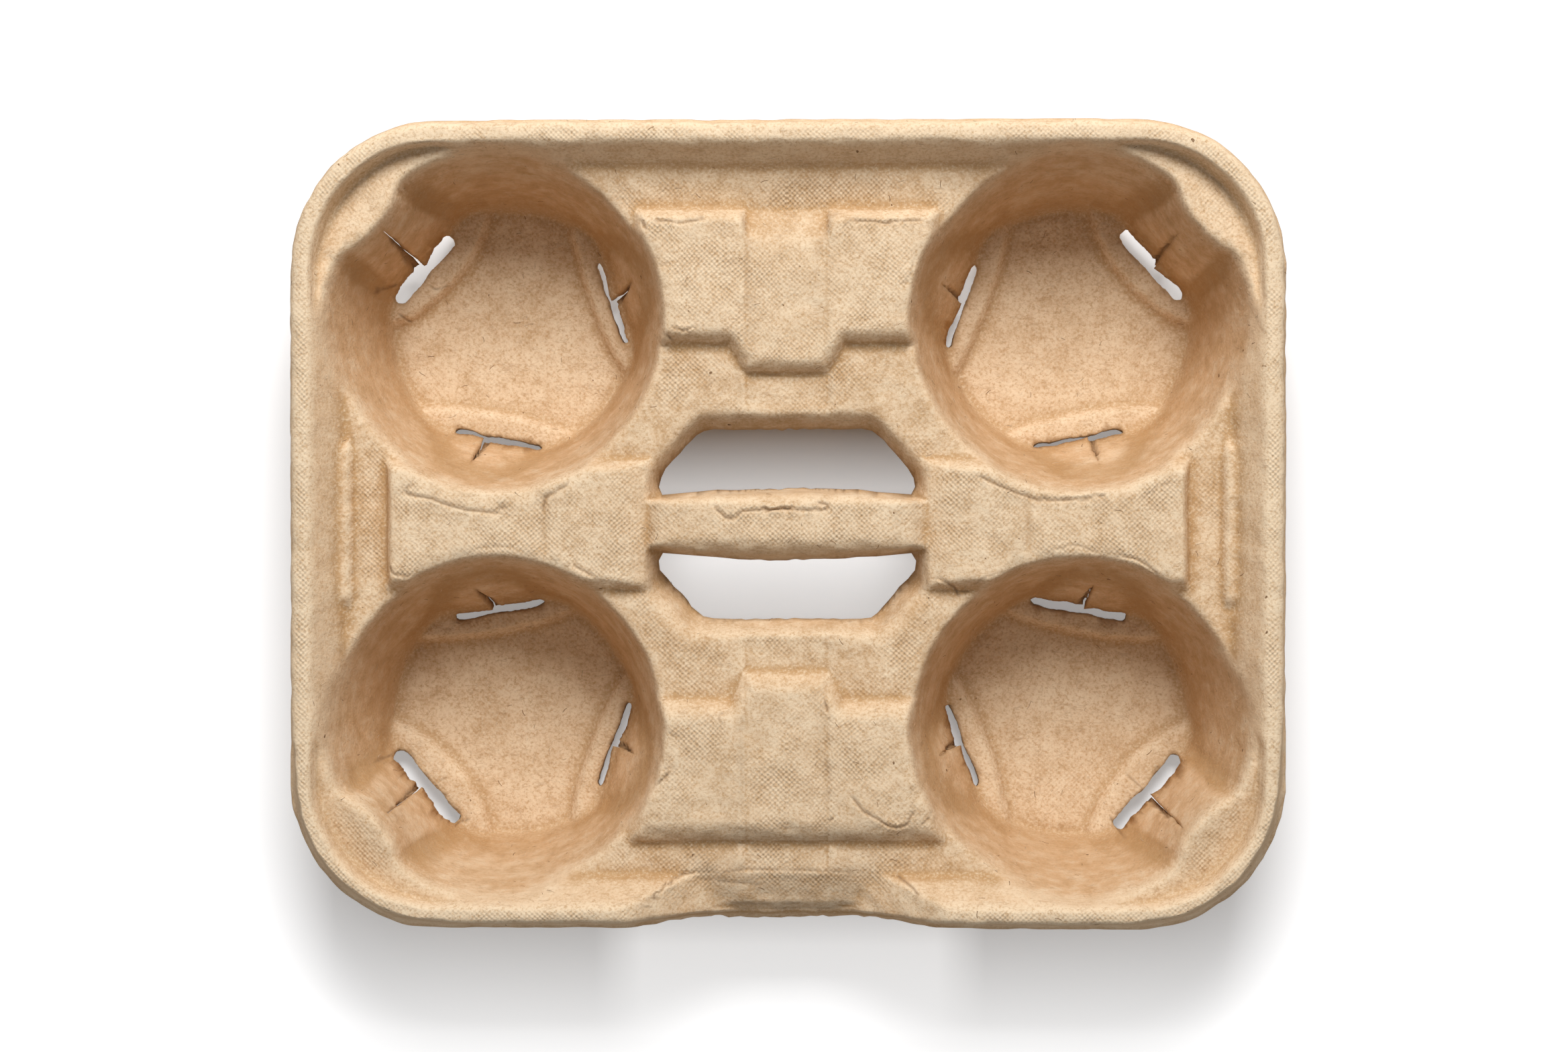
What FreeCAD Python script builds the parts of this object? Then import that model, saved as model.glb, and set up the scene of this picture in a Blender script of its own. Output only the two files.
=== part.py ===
import FreeCAD, Part

import math
import os

from FreeCAD import Vector

# Moulded-pulp carrier tray for four cups, with a carrying bar across its middle.
# The tray is one thin shell. It is worked out as the space between two forms: the one under its
# upper skin, and the one under its lower skin, which lies one wall further in everywhere.
# Millimetres, +Z up, +X along the long side, -Y towards the side with the notch in its rim.
# The origin is on the surface that the tray stands on, below the middle of the tray.

# Overall size, over the flange at the foot of the rim
tray_length = 217.0
tray_width = 176.4
tray_height = 45.0
wall = 1.6
corner_radius = 32.8

# Rim: a rounded bead, with a short skirt and flange outside and a slanting wall inside
bead_inset = 1.2
bead_width = 4.6
bead_rounding = 1.9
bead_bevel = 1.3
skirt_height = 8.0
skirt_draft = 4.0
flange_thickness = 1.4
deck_level = 35.0
recess_draft = 32.0

# Corner shelves: a crest over each corner panel, falling outwards to a groove inside the bead
crest_level = 41.0
shelf_draft = 14.0
groove_draft = 12.0
shelf_half_length = 20.0

# Cup pockets: round and tapered, with flat pressed panels over the expansion slits
pocket_x = 63.5
pocket_y = 44.0
pocket_floor_radius = 27.3
pocket_draft = 14.6
pocket_floor_rounding = 3.0
panel_foot = 25.2
corner_panel_angle = 40.0
corner_panel_draft = 12.5
block_panel_angle = 160.0
bridge_panel_angle = 280.0
inner_panel_draft = 22.0
step_height = 3.2
step_reach = 7.0
step_bow_radius = 40.0
step_draft = 25.0

# Expansion slits: a slot along the foot of each panel, and a short cut up its middle
slot_length = 20.0
slot_width = 2.0
cut_width = 1.4
cut_height = 15.0

# Raised blocks between the pockets
block_rise = 4.0
block_draft = 25.0
block_rounding = 1.5
block_corner_radius = 3.2
end_block_outer = 68.5
end_block_half_length = 33.5
end_block_arm = 40.5
end_block_nose = 32.5
end_block_nose_half_width = 10.2
side_block_inner = 33.5
side_block_outer = 86.5
side_block_half_width = 15.0
side_block_ramp_draft = 45.0

# Carrying bar
bar_rise = 4.2
bar_half_length = 32.0
bar_half_width = 6.75
bar_draft = 30.0
bar_end_draft = 30.0
bar_rounding = 1.6

# Hand holes, one each side of the bar, with their edges turned down
hole_inner = 7.1
hole_outer = 20.9
hole_half_length = 28.3
hole_shoulder_half_length = 21.5
hole_shoulder = 13.5
hole_corner_radius = 4.0
hole_collar_depth = 6.0
hole_inner_draft = 8.0
hole_end_draft = 16.0
hole_outer_draft = 28.0

# Notch in the front rim: a lip that falls outwards, between two flanks that rise to the bead
notch_floor_half_width = 21.0
notch_top_half_width = 35.5
notch_deck_edge = 75.0
notch_lip_edge = 83.3
notch_lip_level = 31.5
notch_foot_edge = 86.9
notch_foot_level = 25.5
notch_foot_half_width = 19.0

# Working room beyond the tray, for the forms that are cut away
spare = 8.0


def tan(degrees):
    """Tangent of an angle in degrees."""
    return math.tan(math.radians(degrees))


def slant(offset, draft):
    """Level distance that moves a wall of this draft by offset, measured square to the wall."""
    return offset / math.cos(math.radians(draft))


def moved_sides(points, distances):
    """Corner points of an anticlockwise outline with each side moved inwards by its own distance."""
    lines = []
    for (x0, y0), (x1, y1), distance in zip(points, points[1:] + points[:1], distances):
        run = math.hypot(x1 - x0, y1 - y0)
        nx, ny = (y0 - y1) / run, (x1 - x0) / run
        lines.append((nx, ny, nx * x0 + ny * y0 + distance))
    corners = []
    for (a0, b0, c0), (a1, b1, c1) in zip(lines[-1:] + lines[:-1], lines):
        det = a0 * b1 - a1 * b0
        corners.append(((c0 * b1 - c1 * b0) / det, (a0 * c1 - a1 * c0) / det))
    return corners


def grown(points, distance):
    """Corner points of an anticlockwise outline with every side moved outwards."""
    return moved_sides(points, [-distance] * len(points))


def rounded_wire(points, radius, level):
    """Closed wire at a level through the corner points, with every corner rounded."""
    corners = [Vector(x, y, level) for x, y in points]
    arcs = []
    for i, here in enumerate(corners):
        back = (corners[i - 1] - here).normalize()
        onward = (corners[(i + 1) % len(corners)] - here).normalize()
        half_angle = back.getAngle(onward) / 2
        setback = radius / math.tan(half_angle)
        reach = radius / math.sin(half_angle) - radius
        middle = here + (back + onward).normalize() * reach
        arcs.append((here + back * setback, middle, here + onward * setback))
    edges = []
    for i, (start, middle, end) in enumerate(arcs):
        edges.append(Part.Arc(start, middle, end).toShape())
        edges.append(Part.LineSegment(end, arcs[(i + 1) % len(arcs)][0]).toShape())
    return Part.Wire(edges)


def tapered(points, radii, levels, shifts):
    """Solid between a rounded outline at two levels, each side moved inwards by its shift there."""
    wires = [
        rounded_wire(moved_sides(points, shift), radius, level)
        for radius, level, shift in zip(radii, levels, shifts)
    ]
    return Part.makeLoft(wires, True, True)


def rectangle(half_x, half_y):
    """Corner points of a rectangle about the origin, anticlockwise."""
    return [(-half_x, -half_y), (half_x, -half_y), (half_x, half_y), (-half_x, half_y)]


def upright_prism(points, plane, start, length):
    """Prism on an outline drawn in the upright plane square to X or Y, from start along that axis."""
    if plane == "x":
        corners = [Vector(start, a, z) for a, z in points]
        along = Vector(length, 0, 0)
    else:
        corners = [Vector(a, start, z) for a, z in points]
        along = Vector(0, length, 0)
    return Part.Face(Part.makePolygon(corners + corners[:1])).extrude(along)


def level_edges(shape, level):
    """Edges of the shape that lie flat at this level."""
    close = 0.01
    return [
        e for e in shape.Edges
        if abs(e.BoundBox.ZMin - level) < close and abs(e.BoundBox.ZMax - level) < close
    ]


def rounded_top(shape, rounding, offset, level):
    """The shape with the edge of its top rounded, where moving in by offset leaves enough of it."""
    least = 0.5
    left = rounding - offset
    return shape.makeFillet(left, level_edges(shape, level)) if left > least else shape


def both_sides(shape, axis):
    """The shape and its mirror image across the plane square to this axis."""
    return [shape, shape.mirror(Vector(0, 0, 0), axis)]


def all_quarters(shape):
    """The shape in each quarter of the tray."""
    return [m for s in both_sides(shape, Vector(1, 0, 0)) for m in both_sides(s, Vector(0, 1, 0))]


def rim_inset(level):
    """Distance from the tray's outline in to the outside of its skirt at a level."""
    return bead_inset - (tray_height - level) * tan(skirt_draft)


def outline_solid(low, high, low_inset, high_inset, radius):
    """Solid on the tray's outline, inset by a distance at each of two levels."""
    points = rectangle(tray_length / 2, tray_width / 2)
    return tapered(
        points,
        [radius - low_inset, radius - high_inset],
        [low, high],
        [[low_inset] * 4, [high_inset] * 4],
    )


def skirt_form(offset):
    """Form under the bead and the skirt, before the tray is hollowed."""
    top = tray_height - offset
    push = slant(offset, skirt_draft)
    form = outline_solid(-spare, top, rim_inset(-spare) + push, rim_inset(top) + push, corner_radius)
    return rounded_top(form, bead_rounding, offset, top)


def rim_hollow(low, draft, offset, radius):
    """Space inside the bead, from a level up, with walls of this draft."""
    high = tray_height + spare
    at_bead = bead_inset + bead_width - slant(offset, draft)
    low_inset = at_bead + (tray_height - low) * tan(draft)
    high_inset = at_bead - spare * tan(draft)
    return outline_solid(low, high, low_inset, high_inset, radius)


def bead_edge():
    """Space over the bevelled inner edge of the bead."""
    low = tray_height - bead_bevel
    inset = bead_inset + bead_width + bead_bevel * tan(recess_draft)
    rise = bead_bevel + spare
    return outline_solid(low, low + rise, inset, inset - rise, corner_radius)


def panel_distance(draft, level):
    """Distance from a pocket's axis to the face of one of its panels at a level."""
    return panel_foot + (level - wall - step_height) * tan(draft)


def corner_shelf_space(offset):
    """Space over the shelf outside a corner panel, about the pocket's own axis."""
    near = panel_distance(corner_panel_draft, crest_level) - spare
    far = near + 40.0
    high = tray_height + 2 * spare
    drop = (far - near - spare) * tan(shelf_draft)
    points = [
        (near, crest_level + spare * tan(shelf_draft)), (far, crest_level - drop), (far, high), (near, high)
    ]
    space = upright_prism(grown(points, offset), "y", -shelf_half_length, 2 * shelf_half_length)
    space.rotate(Vector(0, 0, 0), Vector(0, 0, 1), corner_panel_angle)
    space.translate(Vector(pocket_x, pocket_y, 0))
    return space


def deck_outline():
    """Corner points of the deck with its corners cut off inside the pockets."""
    half_x, half_y = tray_length / 2, tray_width / 2
    return [
        (-pocket_x, -half_y), (pocket_x, -half_y), (half_x, -pocket_y), (half_x, pocket_y),
        (pocket_x, half_y), (-pocket_x, half_y), (-half_x, pocket_y), (-half_x, -pocket_y),
    ]


def recess(offset):
    """Space inside the rim: over the deck, and over the four corner shelves."""
    level = deck_level - offset
    points = [Vector(x, y, level) for x, y in deck_outline()]
    deck = Part.Face(Part.makePolygon(points + points[:1])).extrude(Vector(0, 0, spare * 3))
    over_deck = deck.common(rim_hollow(level, recess_draft, offset, corner_radius))
    steep = rim_hollow(deck_level - spare, groove_draft, offset, corner_radius)
    return [over_deck] + [space.common(steep) for space in all_quarters(corner_shelf_space(offset))]


def pocket_panels():
    """Direction and draft of each of a pocket's three panels."""
    return (
        (corner_panel_angle, corner_panel_draft),
        (block_panel_angle, inner_panel_draft),
        (bridge_panel_angle, inner_panel_draft),
    )


def beyond_panel(angle, draft, offset):
    """Solid behind the face of one pocket panel, about the pocket's own axis."""
    far = 70.0
    low, high = -spare, tray_height + 2 * spare
    push = slant(offset, draft)
    points = [
        (panel_distance(draft, low) + push, low), (far, low), (far, high),
        (panel_distance(draft, high) + push, high),
    ]
    solid = upright_prism(points, "y", -far, 2 * far)
    solid.rotate(Vector(0, 0, 0), Vector(0, 0, 1), angle)
    return solid


def panel_step(angle, offset):
    """Low step with a bowed riser at the foot of one panel, about the pocket's own axis."""
    top = wall + step_height - offset
    top_radius = step_bow_radius - slant(offset, step_draft) + offset * tan(step_draft)
    low_radius = top_radius + (top + spare) * tan(step_draft)
    axis_away = panel_foot - step_reach + step_bow_radius
    step = Part.makeCone(low_radius, top_radius, top + spare, Vector(axis_away, 0, -spare))
    step.rotate(Vector(0, 0, 0), Vector(0, 0, 1), angle)
    return step


def pocket(offset):
    """Hollow of the cup pocket in the +X +Y quarter."""
    floor = wall - offset
    rise = tray_height + spare - floor
    foot_radius = pocket_floor_radius + slant(offset, pocket_draft) - offset * tan(pocket_draft)
    hollow = Part.makeCone(foot_radius, foot_radius + rise * tan(pocket_draft), rise, Vector(0, 0, floor))
    hollow = hollow.makeFillet(pocket_floor_rounding + offset, level_edges(hollow, floor))
    for angle, draft in pocket_panels():
        hollow = hollow.cut([beyond_panel(angle, draft, offset), panel_step(angle, offset)])
    hollow.translate(Vector(pocket_x, pocket_y, 0))
    return hollow


def raised(points, drafts, rise, rounding, offset):
    """Block on the deck, with its own draft on every side and its top edge rounded."""
    low = deck_level - spare
    top = deck_level + rise - offset
    shifts = [
        [slant(offset, draft) + (level - deck_level) * tan(draft) for draft in drafts]
        for level in (low, top)
    ]
    block = tapered(points, [block_corner_radius, block_corner_radius], [low, top], shifts)
    return rounded_top(block, rounding, offset, top)


def end_block(offset):
    """T-shaped block between the two pockets on the +Y side."""
    nose, arm = end_block_nose_half_width, end_block_half_length
    points = [
        (-nose, end_block_nose), (nose, end_block_nose), (nose, end_block_arm), (arm, end_block_arm),
        (arm, end_block_outer), (-arm, end_block_outer), (-arm, end_block_arm), (-nose, end_block_arm),
    ]
    return raised(points, [block_draft] * 8, block_rise, block_rounding, offset)


def side_block(offset):
    """Block between the two pockets on the +X side."""
    half = side_block_half_width
    points = [
        (side_block_inner, -half), (side_block_outer, -half),
        (side_block_outer, half), (side_block_inner, half),
    ]
    drafts = [block_draft, block_draft, block_draft, side_block_ramp_draft]
    return raised(points, drafts, block_rise, block_rounding, offset)


def bar(offset):
    """Carrying bar across the middle."""
    points = rectangle(bar_half_length, bar_half_width)
    drafts = [bar_draft, bar_end_draft, bar_draft, bar_end_draft]
    return raised(points, drafts, bar_rise, bar_rounding, offset)


def hand_hole(offset):
    """Space of the hand hole on the +Y side, down to the foot of its collar, or past it for the upper skin."""
    foot = deck_level - hole_collar_depth
    low = foot if offset else foot - wall
    high = tray_height + spare
    points = [
        (-hole_half_length, hole_inner), (hole_half_length, hole_inner),
        (hole_half_length, hole_shoulder), (hole_shoulder_half_length, hole_outer),
        (-hole_shoulder_half_length, hole_outer), (-hole_half_length, hole_shoulder),
    ]
    slope = (hole_end_draft + hole_outer_draft) / 2
    drafts = [hole_inner_draft, hole_end_draft, slope, hole_outer_draft, slope, hole_end_draft]
    shifts = [
        [-slant(offset, draft) - (level - foot) * tan(draft) for draft in drafts]
        for level in (low, high)
    ]
    return tapered(points, [hole_corner_radius, hole_corner_radius], [low, high], shifts)


def notch(offset):
    """Space of the notch in the front rim."""
    low, high = notch_foot_level - spare, tray_height + spare
    flare = (notch_top_half_width - notch_floor_half_width) / (tray_height - deck_level)
    wide = notch_top_half_width + spare * flare
    across = [
        (-notch_floor_half_width, low), (notch_floor_half_width, low),
        (notch_floor_half_width, deck_level), (wide, high),
        (-wide, high), (-notch_floor_half_width, deck_level),
    ]
    fall = (notch_lip_level - notch_foot_level) / (notch_foot_edge - notch_lip_edge)
    beyond = notch_foot_edge + spare
    along = [
        (-notch_deck_edge + spare, deck_level), (-notch_deck_edge + spare, high), (-beyond, high),
        (-beyond, notch_foot_level - spare * fall), (-notch_lip_edge, notch_lip_level),
        (-notch_deck_edge, deck_level),
    ]
    flanks = upright_prism(grown(across, offset), "y", -beyond - spare, beyond)
    lip = upright_prism(grown(along, offset), "x", -wide - spare, 2 * (wide + spare))
    return flanks.common(lip)


def form(offset):
    """Form under the tray's upper skin, or moved in by offset under its lower skin."""
    bevel = [] if offset else [bead_edge()]
    body = skirt_form(offset).cut(recess(offset) + bevel)
    blocks = both_sides(end_block(offset), Vector(0, 1, 0))
    blocks += both_sides(side_block(offset), Vector(1, 0, 0))
    body = body.fuse(blocks + [bar(offset)])
    body = body.cut(all_quarters(pocket(offset)) + [notch(offset)])
    return body.cut(both_sides(hand_hole(offset), Vector(0, 1, 0)))


def below_skirt():
    """Space below the skirt all round, which dips under the notch's lip."""
    foot = tray_height - skirt_height
    inset = bead_inset + bead_width - wall
    far = tray_length
    around = Part.makeBox(2 * far, 2 * far, foot + 2 * spare, Vector(-far, -far, -2 * spare))
    core = outline_solid(-3 * spare, foot + spare, inset, inset, corner_radius)
    dip = [
        (-notch_foot_half_width, notch_foot_level), (notch_foot_half_width, notch_foot_level),
        (notch_top_half_width, foot), (notch_top_half_width, foot + spare),
        (-notch_top_half_width, foot + spare), (-notch_top_half_width, foot),
    ]
    return around.cut([core, upright_prism(dip, "y", -far, far)])


def flange():
    """Flange around the foot of the skirt, open at the notch."""
    foot = tray_height - skirt_height
    inside = rim_inset(foot) + wall / 2
    ring = outline_solid(foot, foot + flange_thickness, 0, 0, corner_radius)
    ring = ring.cut(outline_solid(foot - spare, foot + spare, inside, inside, corner_radius))
    half = notch_top_half_width
    gap = Part.makeBox(2 * half, tray_width, 3 * spare, Vector(-half, -tray_width, foot - spare))
    return ring.cut(gap)


def slits():
    """Expansion slits of the pocket in the +X +Y quarter."""
    step_top = wall + step_height
    tools = []
    for angle, draft in pocket_panels():
        slot = Part.makeBox(
            slot_width, slot_length, step_top, Vector(panel_foot - slot_width, -slot_length / 2, wall / 2)
        )
        reach = cut_height * tan(draft) + slot_width + 2 * wall
        cut = Part.makeBox(
            reach, cut_width, cut_height, Vector(panel_foot - slot_width / 2, -cut_width / 2, step_top - wall)
        )
        for tool in (slot, cut):
            tool.rotate(Vector(0, 0, 0), Vector(0, 0, 1), angle)
            tool.translate(Vector(pocket_x, pocket_y, 0))
            tools.append(tool)
    return tools


def tray():
    """The whole tray as one solid."""
    shell = form(0).cut([form(wall), below_skirt()])
    shell = shell.fuse(flange())
    shell = shell.cut([tool for slit in slits() for tool in all_quarters(slit)])
    return shell.removeSplitter().Solids[0]


os.makedirs("parts", exist_ok=True)
shape = tray()
shape.exportStep("parts/pulp_tray.step")
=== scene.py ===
"""Moulded-pulp carrier tray for four cups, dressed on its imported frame, on a plain pale floor."""

import logging
import math
from dataclasses import dataclass, field
from enum import Enum
from typing import Iterator, Sequence

import bpy
import numpy as np
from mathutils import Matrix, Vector
from mathutils.geometry import delaunay_2d_cdt


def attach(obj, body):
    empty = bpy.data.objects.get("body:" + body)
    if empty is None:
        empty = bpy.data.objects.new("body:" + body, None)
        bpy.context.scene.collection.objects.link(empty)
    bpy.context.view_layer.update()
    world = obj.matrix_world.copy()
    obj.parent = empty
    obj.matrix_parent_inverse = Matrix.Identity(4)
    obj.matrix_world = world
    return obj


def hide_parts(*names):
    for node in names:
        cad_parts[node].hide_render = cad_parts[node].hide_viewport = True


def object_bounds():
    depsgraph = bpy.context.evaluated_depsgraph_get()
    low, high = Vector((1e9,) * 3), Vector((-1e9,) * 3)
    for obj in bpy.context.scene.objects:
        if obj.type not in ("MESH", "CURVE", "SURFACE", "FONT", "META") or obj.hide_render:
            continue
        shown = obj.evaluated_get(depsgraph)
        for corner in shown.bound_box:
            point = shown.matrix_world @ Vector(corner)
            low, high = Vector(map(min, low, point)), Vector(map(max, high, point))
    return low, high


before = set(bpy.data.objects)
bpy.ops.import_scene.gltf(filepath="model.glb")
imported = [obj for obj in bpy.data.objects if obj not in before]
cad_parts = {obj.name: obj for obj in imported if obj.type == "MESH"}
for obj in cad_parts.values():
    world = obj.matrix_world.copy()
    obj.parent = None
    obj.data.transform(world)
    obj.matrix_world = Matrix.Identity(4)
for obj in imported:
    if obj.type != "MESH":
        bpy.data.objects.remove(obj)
CAD_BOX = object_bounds()

LOG = logging.getLogger("pulp_tray")
METRE = 0.001

Array = np.ndarray
Point = tuple[float, float]
Colour = tuple[float, ...]
Socket = bpy.types.NodeSocket


class MarkKind(Enum):
    """Marks that drying and handling leave in pulp: depth, half-width and shade of each; the shade is
    painted shade, darkening the colour along cracks and creases.
    """

    CRACK = (0.4, 0.36, 0.9)
    FINE = (0.12, 0.3, 0.6)
    CREASE = (0.2, 0.9, 0.22)
    FOLD = (0.4, 1.7, 0.0)
    RIDGE = (-0.25, 1.5, 0.0)


CRACK, FINE, CREASE, FOLD, RIDGE = MarkKind
NARROW = (CRACK, FINE)


class FibreKind(Enum):
    """Loose fibres: how many lie on each square metre, their length in millimetres and their shade."""

    DARK = (6500.0, 1.3, (0.30, 0.17, 0.085))
    PALE = (4500.0, 1.6, (0.74, 0.55, 0.365))


def tan_of(degrees: float) -> float:
    """Return the tangent of an angle in degrees."""
    return math.tan(math.radians(degrees))


def soft_min(a: Array, b: Array, k: float) -> Array:
    """Blend two height fields into the lower one.

    Args:
        a: First heights.
        b: Second heights.
        k: Difference in height over which the edge between them is rounded.

    Returns:
        The lower heights, with a rounded edge.
    """
    h = np.clip(0.5 + 0.5 * (b - a) / k, 0.0, 1.0)
    return b + (a - b) * h - k * h * (1.0 - h)


def soft_max(a: Array, b: Array, k: float) -> Array:
    """Blend two height fields into the higher one; see soft_min for the arguments."""
    return -soft_min(-a, -b, k)


def ease(low: float, high: float, value: Array) -> Array:
    """Step smoothly from 0 at low to 1 at high."""
    t = np.clip((value - low) / (high - low), 0.0, 1.0)
    return t * t * (3.0 - 2.0 * t)


def ripple(x: Array, y: Array, wavelength: float, seed: int) -> Array:
    """Sum seeded plane waves into smooth unevenness.

    Args:
        x: First coordinates, in millimetres.
        y: Second coordinates, in millimetres.
        wavelength: Middle wavelength, in millimetres.
        seed: Seed of the waves' directions and phases.

    Returns:
        Values mostly between -1 and 1.
    """
    rng = np.random.default_rng(seed)
    total = np.zeros_like(x)
    waves = 14
    for _ in range(waves):
        angle = rng.uniform(0.0, 2.0 * math.pi)
        k = 2.0 * math.pi / (wavelength * rng.uniform(0.6, 1.7))
        phase = rng.uniform(0.0, 2.0 * math.pi)
        total += np.sin(k * (x * math.cos(angle) + y * math.sin(angle)) + phase)
    return total / math.sqrt(waves)


def path_distance(x: Array, y: Array, points: Sequence[Point]) -> Array:
    """Return the distance from each place to a path of straight runs.

    Args:
        x: First plan coordinates, in millimetres.
        y: Second plan coordinates, in millimetres.
        points: The path's points.

    Returns:
        Distances, in millimetres.
    """
    best = np.full_like(x, 1e9)
    for (x0, y0), (x1, y1) in zip(points[:-1], points[1:]):
        dx, dy = x1 - x0, y1 - y0
        t = np.clip(((x - x0) * dx + (y - y0) * dy) / (dx * dx + dy * dy + 1e-12), 0.0, 1.0)
        best = np.minimum(best, np.hypot(x - x0 - t * dx, y - y0 - t * dy))
    return best


def outline_depth(x: Array, y: Array, points: Sequence[Point]) -> Array:
    """Return how far each place lies inside a closed outline, negative outside it.

    Args:
        x: First plan coordinates, in millimetres.
        y: Second plan coordinates, in millimetres.
        points: The outline's points.

    Returns:
        Depths, in millimetres.
    """
    closed = list(points) + [points[0]]
    inside = np.zeros(x.shape, dtype=bool)
    for (x0, y0), (x1, y1) in zip(closed[:-1], closed[1:]):
        spans = (y0 > y) != (y1 > y)
        rise = y1 - y0 if y1 != y0 else 1e-9
        inside ^= spans & (x < (x1 - x0) * (y - y0) / rise + x0)
    return np.where(inside, 1.0, -1.0) * path_distance(x, y, closed)


def within(x: Array, y: Array, points: Array, margin: float) -> Array:
    """Return which places lie in the box round some points, widened by a margin."""
    low, high = points.min(axis=0) - margin, points.max(axis=0) + margin
    return (x > low[0]) & (x < high[0]) & (y > low[1]) & (y < high[1])


def show(name: str, data: bpy.types.ID) -> bpy.types.Object:
    """Add an object with its data to the scene and return it.

    Args:
        name: The object's name.
        data: Its mesh, light or camera.

    Returns:
        The object.
    """
    shown = bpy.data.objects.new(name, data)
    bpy.context.scene.collection.objects.link(shown)
    return shown


@dataclass(frozen=True)
class TraySizes:
    """Sizes of the tray, in millimetres and degrees, as its frame has them."""

    length: float = 217.0
    width: float = 176.4
    height: float = 45.0
    wall: float = 1.6
    corner_radius: float = 32.8
    crown_inset: float = 3.4
    bead_radius: float = 2.2
    bead_inner_inset: float = 5.3
    skirt_foot: float = 37.0
    deck: float = 35.0
    recess_draft: float = 32.0
    groove_draft: float = 12.0
    crest: float = 41.0
    shelf_draft: float = 14.0
    pocket_x: float = 63.5
    pocket_y: float = 44.0
    floor: float = 1.6
    floor_radius: float = 27.3
    pocket_draft: float = 14.6
    panel_foot: float = 25.2
    corner_angle: float = 41.0
    corner_draft: float = 12.5
    block_angle: float = 160.0
    bridge_angle: float = 280.0
    inner_draft: float = 22.0
    step: float = 4.8
    step_draft: float = 32.0
    step_reach: float = 7.0
    step_bow: float = 104.0
    corner_step_reach: float = 8.6
    corner_step_bow: float = 40.0
    block_rise: float = 4.0
    back_block: tuple[Point, ...] = ((9.0, 32.8), (13.2, 39.2), (33.6, 39.2), (33.6, 69.2))
    front_block: tuple[Point, ...] = ((9.4, -32.0), (12.6, -38.0), (34.8, -38.0), (34.8, -69.8))
    side_block_half_width: float = 14.6
    side_block_end: float = 87.9
    facet: float = 52.6
    ramp_foot: float = 1.6
    strip_half_width: float = 9.2
    strip_depth: float = 0.42
    bar_rise: float = 4.2
    bar_half_length: float = 30.2
    bar_back: float = 7.9
    bar_front: float = -8.0
    hole_foot: float = 29.0
    hole_end: float = 28.3
    hole_side: float = 20.9
    hole_diagonal_back: float = 28.0
    hole_diagonal_front: float = 29.6
    ledge: float = 37.0
    ledge_foot: float = 94.8
    notch_half_width: float = 20.0
    notch_foot: float = 25.8
    notch_foot_half_width: float = 19.0
    lip_height: float = 31.5
    skirt_drop: float = 4.3


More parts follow.
